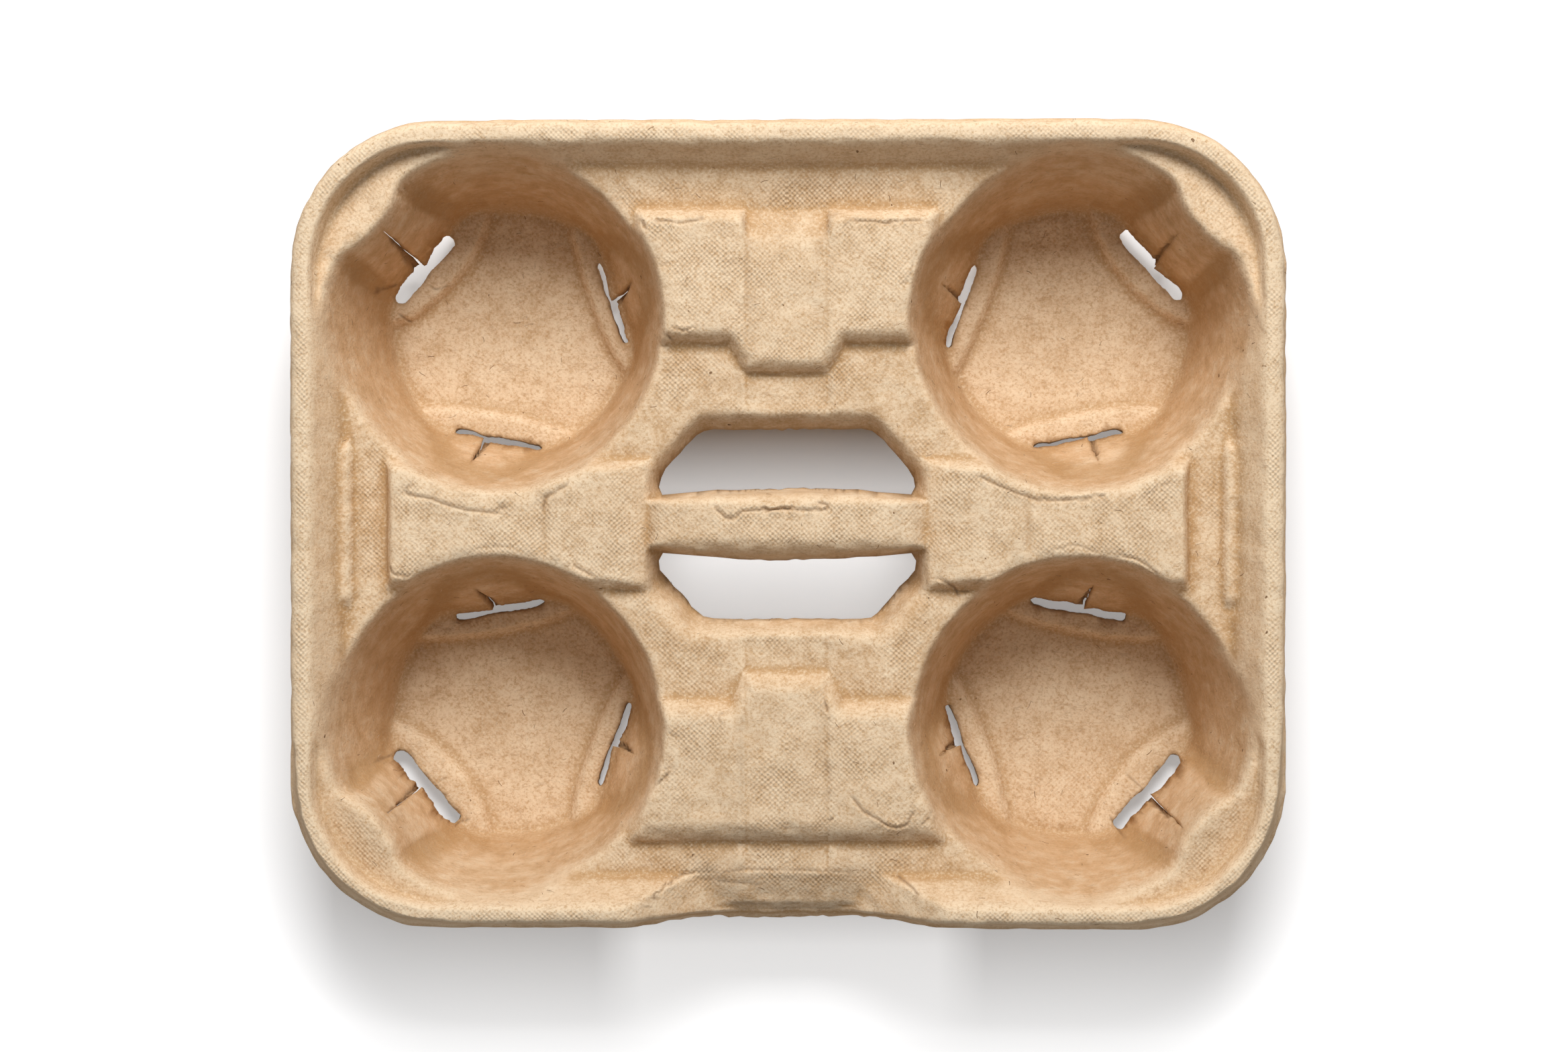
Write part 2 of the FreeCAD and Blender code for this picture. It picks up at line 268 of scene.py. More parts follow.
@dataclass
class DryingMarks:
    """Cracks, creases and folds in the upper skin, as paths on the plan."""

    paths: tuple[tuple[MarkKind, tuple[Point, ...]], ...] = (
        # Back block and the deck before it
        (CRACK, ((-28.6, 65.9), (-26.2, 66.1), (-23.4, 65.5), (-20.3, 66.0), (-17.8, 66.3))),
        (CRACK, ((-31.7, 66.3), (-31.1, 65.0), (-30.3, 64.0))),
        (CRACK, ((14.6, 66.0), (18.9, 65.9), (21.6, 65.5), (23.5, 65.9), (29.4, 66.1))),
        (FINE, ((11.8, 63.6), (12.5, 65.0), (14.3, 66.0))),
        (CRACK, ((-24.6, 42.9), (-22.1, 42.1), (-20.1, 43.1))),
        (FINE, ((27.6, 57.2), (26.6, 53.6), (25.5, 52.0))),
        (CREASE, ((-10.5, 68.6), (-9.1, 65.4), (-8.0, 61.8), (-8.5, 58.1), (-8.7, 54.0),
                 (-8.0, 47.6), (-8.0, 39.4))),
        (CREASE, ((10.7, 68.6), (9.6, 65.4), (7.5, 61.8), (6.8, 58.1), (6.8, 54.0), (7.0, 47.6),
                 (7.3, 41.3))),
        (FOLD, ((-7.1, 61.7), (-3.4, 62.3), (2.0, 62.4), (6.6, 61.8))),
        (CREASE, ((-10.6, 33.2), (-10.3, 30.0), (-10.0, 26.8))),
        (CREASE, ((9.5, 33.0), (9.5, 26.3))),
        (FINE, ((-17.5, 30.2), (-15.5, 31.4))),
        (CRACK, ((-26.2, 41.5), (-24.9, 40.1))),
        # Front block and the deck behind it
        (CRACK, ((14.3, -59.3), (16.8, -62.4), (19.7, -64.0), (21.9, -65.5), (24.2, -66.1),
                 (26.2, -65.5), (26.6, -64.2), (27.9, -62.6))),
        (CRACK, ((29.3, -65.5), (30.8, -64.2), (31.5, -63.1))),
        (FOLD, ((-22.7, -61.7), (-19.2, -61.2), (-14.7, -61.7), (-12.0, -63.1), (-9.6, -65.1))),
        (CRACK, ((-28.3, -56.8), (-25.6, -54.1))),
        (FINE, ((-27.0, -53.3), (-24.7, -52.8))),
        (CRACK, ((8.3, -38.2), (9.1, -41.1))),
        (FINE, ((-12.5, -40.6), (-14.7, -41.5), (-14.6, -42.7), (-14.0, -43.4))),
        (CREASE, ((-9.6, -40.7), (-10.0, -47.4), (-9.8, -54.6), (-9.6, -61.7))),
        (CREASE, ((8.5, -40.7), (7.6, -47.4), (9.0, -54.6), (9.2, -61.7))),
        (RIDGE, ((-7.1, -54.6), (-2.6, -51.0), (1.8, -46.5))),
        (CRACK, ((9.2, -64.8), (10.3, -63.7))),
        (FINE, ((26.8, -58.2), (27.9, -57.3))),
        (FINE, ((-25.6, -45.0), (-24.5, -46.3), (-23.2, -45.9))),
        # Lip of the notch
        (CRACK, ((-19.8, -76.2), (-23.2, -76.7), (-25.3, -78.0), (-27.4, -79.8), (-29.5, -81.4),
                 (-31.1, -83.0))),
        (FINE, ((-30.9, -84.2), (-29.3, -82.6))),
        (CRACK, ((24.1, -76.7), (26.0, -78.0), (27.5, -79.1), (28.8, -80.6))),
        (FINE, ((-20.1, -76.0), (-14.9, -76.3), (-8.6, -75.6), (4.5, -75.8), (13.9, -76.0))),
        (FINE, ((-15.8, -84.7), (-14.0, -83.7), (-6.1, -83.4), (1.8, -83.4), (3.4, -83.8))),
        (FINE, ((-19.2, -77.9), (-15.0, -78.2), (-8.7, -78.9), (-5.5, -79.2))),
        # Left side block
        (CRACK, ((-83.3, 7.1), (-82.4, 6.5), (-77.3, 5.6), (-74.4, 4.4), (-70.2, 3.2),
                 (-64.2, 2.6), (-62.8, 2.6), (-61.3, 4.1))),
        (FINE, ((-83.0, 7.1), (-81.5, 8.9))),
        (CRACK, ((-53.2, 2.9), (-52.6, 5.3), (-50.6, 7.1), (-47.6, 8.6))),
        (CREASE, ((-53.4, 2.9), (-53.1, -4.8))),
        (FINE, ((-67.9, -5.3), (-65.0, -4.7), (-59.0, -4.8))),
        (CRACK, ((-86.7, -9.0), (-85.8, -10.8), (-83.4, -11.5), (-81.8, -10.8))),
        (CRACK, ((-46.6, -8.7), (-41.8, -11.4))),
        # Carrying bar
        (CRACK, ((-15.4, 3.5), (-13.0, 1.4), (-11.3, 1.4), (-9.8, 2.9), (-4.7, 3.3), (1.1, 3.5))),
        (CREASE, ((-30.1, 3.2), (-30.1, -4.8))),
        (CRACK, ((-4.7, 3.0), (-0.1, 3.4), (6.7, 3.0), (9.2, 3.4), (9.0, 4.3), (6.7, 4.9))),
        (CREASE, ((24.1, 3.4), (24.1, -5.6))),
        (CREASE, ((28.1, 6.1), (28.0, -5.6))),
        # Right side block
        (CRACK, ((41.8, 10.6), (45.6, 8.7), (50.2, 6.8), (54.8, 5.3), (60.1, 5.3), (65.5, 5.8),
                 (69.3, 6.4))),
        (FINE, ((77.0, 5.7), (80.1, 8.0), (83.1, 9.1))),
        (CREASE, ((52.5, 3.4), (52.9, -5.0))),
        (FINE, ((57.9, -5.4), (61.7, -4.3), (64.0, -4.6), (67.8, -6.2))),
        (CRACK, ((72.4, -6.9), (75.5, -7.3), (77.8, -8.5), (80.8, -10.8))),
        (CRACK, ((32.8, -11.6), (36.6, -13.5), (37.5, -15.8))),
        (FINE, ((37.5, -15.8), (42.7, -11.5), (47.3, -10.0))),
        # Pocket walls and corner shelves
        (CRACK, ((-93.6, 51.8), (-92.2, 53.1), (-89.0, 54.5))),
        (CRACK, ((-89.5, 48.0), (-88.1, 46.8), (-86.9, 46.4))),
        (FINE, ((-82.5, 54.5), (-81.0, 53.5), (-78.2, 54.5))),
        (FINE, ((-106.9, 42.0), (-104.7, 40.1))),
        (FINE, ((-27.1, 56.9), (-25.4, 56.9))),
        (FINE, ((-80.8, -59.5), (-78.6, -58.3))),
        (CRACK, ((-93.3, -53.8), (-89.9, -52.5), (-89.4, -51.4))),
        (CRACK, ((-76.2, -69.6), (-74.1, -67.5))),
        (CRACK, ((34.1, -52.1), (37.7, -50.9))),
        (FINE, ((77.2, -57.5), (80.5, -60.5))),
        (CRACK, ((73.3, -67.2), (75.7, -70.8))),
    )

    def change(self, x: Array, y: Array) -> tuple[Array, Array]:
        """Measure what the marks do at each place.

        Args:
            x: First plan coordinates, in millimetres.
            y: Second plan coordinates, in millimetres.

        Returns:
            The depth by which the skin is lowered, and the painted shade along the marks, from 0 to 1.
        """
        depth, shade = np.zeros_like(x), np.zeros_like(x)
        for kind, path in self.paths:
            sink, half, tone = kind.value
            near = within(x, y, np.array(path), 2.2 * half + 0.5)
            if not near.any():
                continue
            px, py = x[near], y[near]
            wander = 0.18 * ripple(px, py, 2.4, len(path))
            away = path_distance(px + wander, py - wander, path)
            end = np.minimum(np.hypot(px - path[0][0], py - path[0][1]),
                             np.hypot(px - path[-1][0], py - path[-1][1]))
            strength = ease(-0.2, 2.2 * half, end + 0.3 * half)
            dip = sink * np.exp(-(away / half) ** 2) * strength
            if kind in NARROW:
                dip -= 0.3 * sink * np.exp(-((away - 1.9 * half) / half) ** 2) * strength
            depth[near] += dip
            # Painted shade along the cracks and creases, darkest on their middle lines.
            painted_mark_shade = tone * np.exp(-(away / (0.62 * half)) ** 2) * strength
            shade[near] = np.maximum(shade[near], painted_mark_shade)
        return depth, shade

    def points(self) -> Array:
        """Return plan points along every narrow mark, and beside it, for the mesh.

        Returns:
            The points, one row each.
        """
        rows = []
        for kind, path in self.paths:
            if kind not in NARROW:
                continue
            for (x0, y0), (x1, y1) in zip(path[:-1], path[1:]):
                run = math.hypot(x1 - x0, y1 - y0)
                count = max(1, int(run / 0.45))
                nx, ny = -(y1 - y0) / run, (x1 - x0) / run
                for i in range(count):
                    t = (i + 0.5) / count
                    for off in (-0.9, -0.45, 0.0, 0.45, 0.9):
                        rows.append((x0 + (x1 - x0) * t + nx * off, y0 + (y1 - y0) * t + ny * off))
        return np.array(rows)


@dataclass
class TrayForm:
    """Upper skin of the tray, as heights over a flat plan that is unrolled past the bead.

    Inside the bead's crown the plan is the tray's own. Outside it, distance on the plan is distance
    along the bead's outer side, the skirt and the flange. Methods on x and y take plan coordinates,
    in millimetres, and return one value for each place.
    """

    sizes: TraySizes = field(default_factory=TraySizes)
    marks: DryingMarks = field(default_factory=DryingMarks)
    skirt_run: float = 9.0
    waviness: float = 0.12
    waves: tuple[tuple[float, float, float, int], ...] = (
        (1.0, 0.0, 17.0, 0), (0.85, 1.0, 7.0, 1), (0.2, -1.0, 2.8, 4),
    )
    seed: int = 11

    def inset(self, x: Array, y: Array) -> Array:
        """Return the distance inside the tray's outline, negative outside it.

        Args:
            x: First plan coordinates, in millimetres.
            y: Second plan coordinates, in millimetres.

        Returns:
            Distances, in millimetres.
        """
        s = self.sizes
        ax = np.abs(x) - (s.length / 2 - s.corner_radius)
        ay = np.abs(y) - (s.width / 2 - s.corner_radius)
        beyond = np.hypot(np.maximum(ax, 0.0), np.maximum(ay, 0.0))
        return s.corner_radius - beyond - np.minimum(np.maximum(ax, ay), 0.0)

    def pocket_place(self, x: Array, y: Array) -> tuple[Array, Array]:
        """Return places from the nearest pocket's axis, as they would lie in the back right pocket."""
        return np.abs(x) - self.sizes.pocket_x, np.abs(y) - self.sizes.pocket_y

    def panels(self) -> Iterator[tuple[float, float]]:
        """Yield the direction and the draft of each of a pocket's pressed panels."""
        s = self.sizes
        yield s.corner_angle, s.corner_draft
        yield s.block_angle, s.inner_draft
        yield s.bridge_angle, s.inner_draft

    def pocket_height(self, x: Array, y: Array) -> Array:
        """Return the height of the pockets' cone, panels, steps and floor.

        Args:
            x: First plan coordinates, in millimetres.
            y: Second plan coordinates, in millimetres.

        Returns:
            Heights, in millimetres.
        """
        s = self.sizes
        lx, ly = self.pocket_place(x, y)
        r = np.hypot(lx, ly)
        z = s.floor + (r - s.floor_radius) / tan_of(s.pocket_draft)
        low = np.full_like(x, s.floor)
        for angle, draft in self.panels():
            c, n = math.cos(math.radians(angle)), math.sin(math.radians(angle))
            u, v = lx * c + ly * n, ly * c - lx * n
            back, reach, radius = 0.0, s.step_reach, s.step_bow
            if angle == s.corner_angle:
                back, reach, radius = self.corner_sweep(u, v), s.corner_step_reach, s.corner_step_bow
            z = soft_max(z, s.step + (u - s.panel_foot - back) / tan_of(draft), 3.0 + 1.9 * back)
            bow = radius - np.hypot(u - s.panel_foot + reach - radius, v)
            step = np.minimum(s.floor + bow / tan_of(s.step_draft), s.step + 0.06 * (u - s.panel_foot))
            low = soft_max(low, step, 0.5)
        return soft_max(z, low, 1.4)

    def corner_sweep(self, u: Array, v: Array) -> Array:
        """Return how far a corner panel sweeps outwards, on each side and towards its top."""
        up = np.clip((u - self.sizes.panel_foot) / 8.0, 0.0, 1.2)
        return 5.2 * up * ease(1.0, 21.0, np.abs(v + 1.6))

    def end_block_rise(self, x: Array, y: Array) -> Array:
        """Return how far the T-shaped end blocks stand above the deck.

        Args:
            x: First plan coordinates, in millimetres.
            y: Second plan coordinates, in millimetres.

        Returns:
            Heights over the deck, in millimetres.
        """
        s = self.sizes
        back, front = ([*half, *((-px, py) for px, py in reversed(half))]
                       for half in (s.back_block, s.front_block))
        top = np.full_like(x, s.block_rise)
        rise = soft_min(top, outline_depth(x, y, back) * 1.75, 2.6)
        rise = soft_max(rise, soft_min(top, outline_depth(x, y, front) * 1.35, 3.4), 0.4)
        beside = np.maximum(np.abs(x) - s.strip_half_width + 0.4, 0.0)
        slope = (s.back_block[-1][1] - y) * 0.56 + beside * 3.0
        return np.where(y > 45.0, soft_min(rise, slope, 0.5), rise)

    def side_block_rise(self, x: Array, y: Array) -> Array:
        """Return how far the side blocks, with their ramps to the bar, stand above the deck.

        Args:
            x: First plan coordinates, in millimetres.
            y: Second plan coordinates, in millimetres.

        Returns:
            Heights over the deck, in millimetres.
        """
        s = self.sizes
        ax, ay = np.abs(x), np.abs(y)
        ramp = s.ramp_foot + (ax - s.bar_half_length) * 0.36
        side = soft_min((s.side_block_half_width - ay) * 1.5, (s.side_block_end - ax) * 2.4, 1.0)
        rise = soft_min(soft_min(ramp, side, 0.8), np.full_like(x, s.block_rise), 0.8)
        facet = 0.38 * np.exp(-((ax - s.facet) / 0.9) ** 2) * ease(9.0, 5.0, ay)
        return np.where(ax > 29.0, rise, -4.0) - np.where(ax > 29.0, facet, 0.0)

    def bar_height(self, x: Array, y: Array) -> Array:
        """Return how far the carrying bar stands above the deck.

        Args:
            x: First plan coordinates, in millimetres.
            y: Second plan coordinates, in millimetres.

        Returns:
            Heights over the deck, in millimetres.
        """
        s = self.sizes
        ax = np.abs(x)
        back, front = (s.bar_back - y) * 1.55, (y - s.bar_front) * 1.05
        end = 1.7 + (s.bar_half_length - ax) * 0.8
        top = np.full_like(x, s.bar_rise)
        bar = soft_min(soft_min(soft_min(back, front, 0.5), end, 1.4), top, 1.6)
        return np.where(ax < s.bar_half_length + 1.5, bar, -4.0)

    def land_height(self, x: Array, y: Array) -> Array:
        """Return the height of everything round the pockets: deck, blocks, bar, rim and shelves.

        Args:
            x: First plan coordinates, in millimetres.
            y: Second plan coordinates, in millimetres.

        Returns:
            Heights, in millimetres.
        """
        s = self.sizes
        q = self.inset(x, y)
        ax, ay = np.abs(x), np.abs(y)
        rise = soft_max(self.end_block_rise(x, y), self.side_block_rise(x, y), 0.6)
        rise = soft_max(rise, self.bar_height(x, y), 0.6)
        strip = s.strip_depth * ease(s.strip_half_width + 0.5, s.strip_half_width - 0.3, ax)
        strip = strip * ease(24.0, 26.0, ay)
        z = s.deck + soft_max(rise, np.zeros_like(x), 0.5) - strip
        z = np.where(y > 69.0, soft_max(z, s.deck + (y - 70.2) * 0.27, 0.4), z)
        rim = s.height - (q - s.bead_inner_inset) / tan_of(s.recess_draft)
        z = soft_max(z, rim, 0.9)
        step = s.deck + np.minimum((ax - s.ledge_foot) * 1.75, s.ledge - s.deck)
        z = np.where(ay < 30.0, soft_max(z, step - 6.0 * ease(15.0, 25.0, ay), 0.4), z)
        lx, ly = self.pocket_place(x, y)
        c, n = math.cos(math.radians(s.corner_angle)), math.sin(math.radians(s.corner_angle))
        u = lx * c + ly * n
        shelf = s.crest - (u - 33.0) * tan_of(s.shelf_draft)
        groove = s.height - (q - s.bead_inner_inset) / tan_of(s.groove_draft)
        corner = soft_max(shelf, groove, 1.0)
        turn = np.abs(np.degrees(np.arctan2(ly, lx)) - s.corner_angle)
        z = z + (corner - z) * (1.0 - ease(30.0, 42.0, turn))
        crown = s.height + 0.1 - 0.09 * np.clip(q - s.crown_inset - 0.2, 0.0, 2.2) ** 2
        return soft_min(z, crown, 1.2)

    def hole_height(self, x: Array, y: Array) -> Array:
        """Return the height of the turned-down collars round the hand holes.

        Args:
            x: First plan coordinates, in millimetres.
            y: Second plan coordinates, in millimetres.

        Returns:
            Heights, in millimetres.
        """
        s = self.sizes
        ax, ay = np.abs(x), np.abs(y)
        inner = 6.4 + 1.5 * np.clip(1.0 - (x / 27.0) ** 2, 0.0, 1.0)
        diagonal = np.where(y > 0.0, s.hole_diagonal_back, s.hole_diagonal_front)
        sides = (
            (inner - ay, 8.0),
            (ax - s.hole_end, 16.0),
            (ay - s.hole_side, 28.0),
            (ax * 0.738 + ay * 0.675 - diagonal, 22.0),
        )
        z = np.full_like(x, -50.0)
        for away, draft in sides:
            z = soft_max(z, s.hole_foot + away / tan_of(draft), 4.0)
        return z

    def notch_height(self, x: Array, y: Array) -> Array:
        """Return the height of the notch in the front rim: its flanks and its falling lip.

        Args:
            x: First plan coordinates, in millimetres.
            y: Second plan coordinates, in millimetres.

        Returns:
            Heights, in millimetres.
        """
        s = self.sizes
        flank = s.deck - 0.2 + (np.abs(x) - s.notch_half_width) / 1.5
        fall = soft_min(s.deck + (y + 75.3) * 0.44, s.lip_height + (y + 83.3) * 1.7, 0.6)
        lip = soft_max(fall, s.deck + (y + 74.8) * 1.6, 0.6)
        return soft_max(lip, flank, 1.2)

    def height(self, x: Array, y: Array) -> Array:
        """Return the height of the upper skin inside the bead's crown.

        Args:
            x: First plan coordinates, in millimetres.
            y: Second plan coordinates, in millimetres.

        Returns:
            Heights, in millimetres.
        """
        z = self.land_height(x, y)
        z = np.where(y < -60.0, soft_min(z, self.notch_height(x, y), 0.8), z)
        z = soft_min(z, self.pocket_height(x, y), 2.6)
        near = (np.abs(x) < 40.0) & (np.abs(y) < 32.0)
        return np.where(near, soft_min(z, self.hole_height(x, y), 2.2), z)

    def bend(self, x: Array, y: Array, reach: float = 0.7) -> Array:
        """Return how the upper skin bends at each place: above 0 in hollows, below 0 on edges.

        Args:
            x: First plan coordinates, in millimetres.
            y: Second plan coordinates, in millimetres.
            reach: How far away the compared places lie.

        Returns:
            Sums of the differences in height, in millimetres.
        """
        bend = -4.0 * self.height(x, y)
        for dx, dy in ((reach, 0.0), (-reach, 0.0), (0.0, reach), (0.0, -reach)):
            bend = bend + self.height(x + dx, y + dy)
        return bend

    def hollow(self, x: Array, y: Array) -> Array:
        """Return how hollow the upper skin is at each place, from -1 on edges to 1 in hollows.

        Args:
            x: First plan coordinates, in millimetres.
            y: Second plan coordinates, in millimetres.

        Returns:
            A value for each place.
        """
        inner = np.clip(self.bend(x, y) / 0.5, -1.0, 0.85)
        inner += np.clip(self.bend(x, y, 3.2) / 9.0, 0.0, 0.6)
        run = self.sizes.crown_inset - self.inset(x, y)
        outer = ease(2.2, 3.2, run) * ease(6.2, 4.8, run)
        return np.where(run < -0.3, inner, outer)

    def flare(self, x: Array, y: Array) -> Array:
        """Return how far the skirt leans out, from 0 to 1: most round the two front corners."""
        corner = ease(58.0, 82.0, np.abs(x)) * ease(-38.0, -62.0, y)
        return np.maximum(corner, 0.4 * ease(-66.0, -80.0, y))

    def skirt_profile(self, run: Array, flare: Array) -> tuple[Array, Array]:
        """Follow the bead's outer side, the skirt and the flange.

        Args:
            run: Distances from the crown along the profile.
            flare: How far the skirt leans out at each place, from 0 to 1.

        Returns:
            The inset and the height at each distance.
        """
        s = self.sizes
        r = s.bead_radius
        lean = r - 1.6 * flare
        arc = r * math.pi / 2
        turn = np.clip(run / r, 0.0, math.pi / 2)
        down = np.clip(run - arc, 0.0, s.skirt_drop)
        out = np.clip(run - arc - s.skirt_drop, 0.0, None)
        inset = s.crown_inset - lean * np.sin(turn) - down * (0.08 + 0.4 * flare) - out * 0.62
        z = s.height - lean * (1.0 - np.cos(turn)) - down * (1.0 + 0.37 * flare) - out * 0.72
        return inset, z

    def lift(self, x: Array, y: Array) -> Array:
        """Turn places on the plan into points of the upper skin.

        Args:
            x: First plan coordinates.
            y: Second plan coordinates.

        Returns:
            An array of points, one row each.
        """
        s = self.sizes
        q = self.inset(x, y)
        run = np.clip(s.crown_inset - q, 0.0, self.skirt_run)
        z = self.height(x, y) - self.marks.change(x, y)[0]
        inset, fall = self.skirt_profile(run, self.flare(x, y))
        crown_y = -(s.width / 2 - s.crown_inset)
        notch = np.minimum(self.notch_height(x, np.full_like(x, crown_y)), s.height)
        front = (y < -40.0) & (np.abs(x) < 45.0)
        notch = np.where(front, notch, s.height)
        opened = np.clip((s.height - notch) / 11.0, 0.0, 1.0)
        foot = s.notch_foot + (np.abs(x) - s.notch_foot_half_width) * 0.7
        foot = np.where(front, np.clip(foot, s.notch_foot, s.skirt_foot), s.skirt_foot)
        share = run / self.skirt_run
        plain = notch - (s.height - fall) * (notch - foot) / (s.height - s.skirt_foot)
        ragged = 0.22 * ripple(x, y, 4.1, self.seed + 2) + 0.07 * ripple(x, y, 1.6, self.seed + 3)
        lip_inset = s.crown_inset - 2.3 * share + ragged * share * share
        inset = inset + (lip_inset - inset) * ease(0.0, 1.0, opened)
        outside = q < s.crown_inset
        cx, cy = (np.clip(v, s.corner_radius - full / 2, full / 2 - s.corner_radius)
                  for v, full in ((x, s.length), (y, s.width)))
        dx, dy = x - cx, y - cy
        away = np.maximum(np.hypot(dx, dy), 1e-9)
        reach = s.corner_radius - inset
        px = np.where(outside, cx + dx / away * reach, x)
        py = np.where(outside, cy + dy / away * reach, y)
        pz = np.where(outside, plain, z)
        return np.column_stack((px, py, pz))


@dataclass(frozen=True)
class Slit:
    """One T-shaped expansion slit, along its panel's own axes, in millimetres.

    The first axis points from the pocket's axis at the panel, the second runs along the panel.
    """

    side_x: int
    side_y: int
    panel: int
    start: float
    end: float
    shift: float
    gap: float
    stem_foot: float
    stem_head: float
    stem_reach: float
    stem_gap: float
    curl: tuple[float, float]
    tear: float = 1.4


@dataclass
class SlitCutter:
    """Expansion slits at the foot of every pressed panel, with torn edges and curled tabs."""

    form: TrayForm
    slits: tuple[Slit, ...] = (
        Slit(-1, 1, 0, -12.3, 7.2, -0.5, 2.9, -2.2, -1.0, 7.0, 1.5, (1.2, -0.5), 2.3),
        Slit(-1, 1, 1, -7.8, 11.9, -1.0, 1.6, 1.5, -0.1, 6.0, 1.5, (-0.5, 1.3)),
        Slit(-1, 1, 2, -11.4, 9.1, 0.3, 1.3, 1.9, 2.4, 5.5, 1.0, (0.7, -0.6)),
        Slit(1, 1, 0, -11.6, 9.1, -0.8, 2.6, -2.2, 0.3, 5.8, 1.2, (-0.4, 1.1)),
        Slit(1, 1, 1, -6.8, 13.2, 0.0, 1.7, 2.5, 0.9, 5.6, 1.6, (1.2, -0.5)),
        Slit(1, 1, 2, -12.3, 8.5, 0.3, 1.2, 0.3, 0.7, 5.0, 0.9, (-0.6, 0.8)),
        Slit(-1, -1, 2, -11.8, 9.1, -0.4, 1.7, -0.4, 1.9, 5.4, 1.3, (0.9, -0.5)),
        Slit(-1, -1, 1, -8.5, 12.0, -0.6, 1.6, 1.4, 2.3, 5.2, 1.4, (-0.4, 1.1)),
        Slit(-1, -1, 0, -11.0, 10.4, 0.5, 2.3, -1.2, -1.2, 5.6, 1.0, (1.1, 0.5)),
        Slit(1, -1, 2, -12.8, 9.6, -0.3, 2.1, -0.8, -0.3, 5.6, 1.3, (0.8, -0.6)),
        Slit(1, -1, 1, -8.1, 12.1, 0.2, 1.5, 2.2, 2.8, 4.6, 1.4, (-0.4, 1.2)),
        Slit(1, -1, 0, -9.7, 12.0, 0.3, 2.4, 1.3, 1.7, 6.4, 1.2, (0.5, 1.0)),
    )
    foot_setback: float = 0.6
    seed: int = 5

    def frame_of(self, slit: Slit) -> tuple[float, float]:
        """Return the cosine and the sine of a slit's panel direction."""
        angle = list(self.form.panels())[slit.panel][0]
        return math.cos(math.radians(angle)), math.sin(math.radians(angle))

    def foot(self, slit: Slit) -> float:
        """Return how far a slit's middle line lies from its pocket's axis."""
        return self.form.sizes.panel_foot + slit.shift - self.foot_setback

    def outline(self, slit: Slit, rng: np.random.Generator) -> Array:
        """Draw one slit's torn outline.

        Args:
            slit: The slit's measures.
            rng: Source of the torn edges.

        Returns:
            The outline's points on the panel's axes.
        """
        foot = self.foot(slit)
        v = np.arange(slit.start, slit.end, 0.45)
        ends = np.minimum(v - slit.start, slit.end - v)
        swell = np.sqrt(np.clip(ends / 0.9 + 0.12, 0.0, 1.0))
        wobble = 0.28 * ripple(v, v * 0.0, 9.0, int(rng.integers(1000)))
        pinch = 1.0 - 0.38 * np.exp(-((v - slit.stem_foot) / 2.6) ** 2)
        half = 0.5 * slit.gap * swell * pinch
        near = foot - half + wobble + 0.04 * rng.normal(size=len(v))
        rough = 0.04 * rng.normal(size=len(v)) + 0.07 * ripple(v, v * 0.0, 4.0, int(rng.integers(1000)))
        far = foot + half + 0.8 * wobble + rough * np.minimum(swell, half * 1.6)
        far = np.maximum(far, near + 0.22)
        rows = [(near[i], v[i]) for i in range(len(v))]
        mouth = 0.12 * slit.stem_gap + 0.27
        for i in range(len(v) - 1, -1, -1):
            if abs(v[i] - slit.stem_foot) > mouth:
                rows.append((far[i], v[i]))
            elif rows[-1][1] > slit.stem_foot:
                rows += self.stem(slit, far[i], rng)
        return np.array(rows)

    def stem(self, slit: Slit, base: float, rng: np.random.Generator) -> list[Point]:
        """Draw the stem of a slit, up one side and down the other.

        Args:
            slit: The slit's measures.
            base: Where the stem starts, from the pocket's axis.
            rng: Source of the torn edges.

        Returns:
            The points on the panel's axes.
        """
        steps = 11
        up, down = [], []
        for i in range(steps + 1):
            t = i / steps
            middle = slit.stem_foot + (slit.stem_head - slit.stem_foot) * t + 0.08 * rng.normal()
            half = 0.12 * slit.stem_gap * max(0.0, 1.0 - 3.0 * t) + 0.03
            u = base + slit.stem_reach * t
            up.append((u + 0.05, middle + half))
            down.append((u - 0.05, middle - half))
        return up + down[::-1]

    def outlines(self) -> list[Array]:
        """Return every slit's outline on the plan.

        Returns:
            The outlines, anticlockwise.
        """
        rng = np.random.default_rng(self.seed)
        sizes = self.form.sizes
        result = []
        for slit in self.slits:
            c, n = self.frame_of(slit)
            outline = self.outline(slit, rng)
            lx = outline[:, 0] * c - outline[:, 1] * n
            ly = outline[:, 0] * n + outline[:, 1] * c
            x, y = slit.side_x * (lx + sizes.pocket_x), slit.side_y * (ly + sizes.pocket_y)
            points = np.column_stack((x, y))
            result.append(points if slit.side_x * slit.side_y > 0 else points[::-1])
        return result

    def place(self, slit: Slit, x: Array, y: Array) -> tuple[Array, Array]:
        """Return how far up a slit's stem each place lies, from 0 to 1, and how far beside it.

        Args:
            slit: The slit's measures.
            x: First plan coordinates, in millimetres.
            y: Second plan coordinates, in millimetres.

        Returns:
            The share of the stem's height, and the distance beside it.
        """
        sizes = self.form.sizes
        c, n = self.frame_of(slit)
        lx, ly = slit.side_x * x - sizes.pocket_x, slit.side_y * y - sizes.pocket_y
        rise = (lx * c + ly * n - self.foot(slit)) / slit.stem_reach
        return rise, ly * c - lx * n - slit.stem_foot - (slit.stem_head - slit.stem_foot) * rise

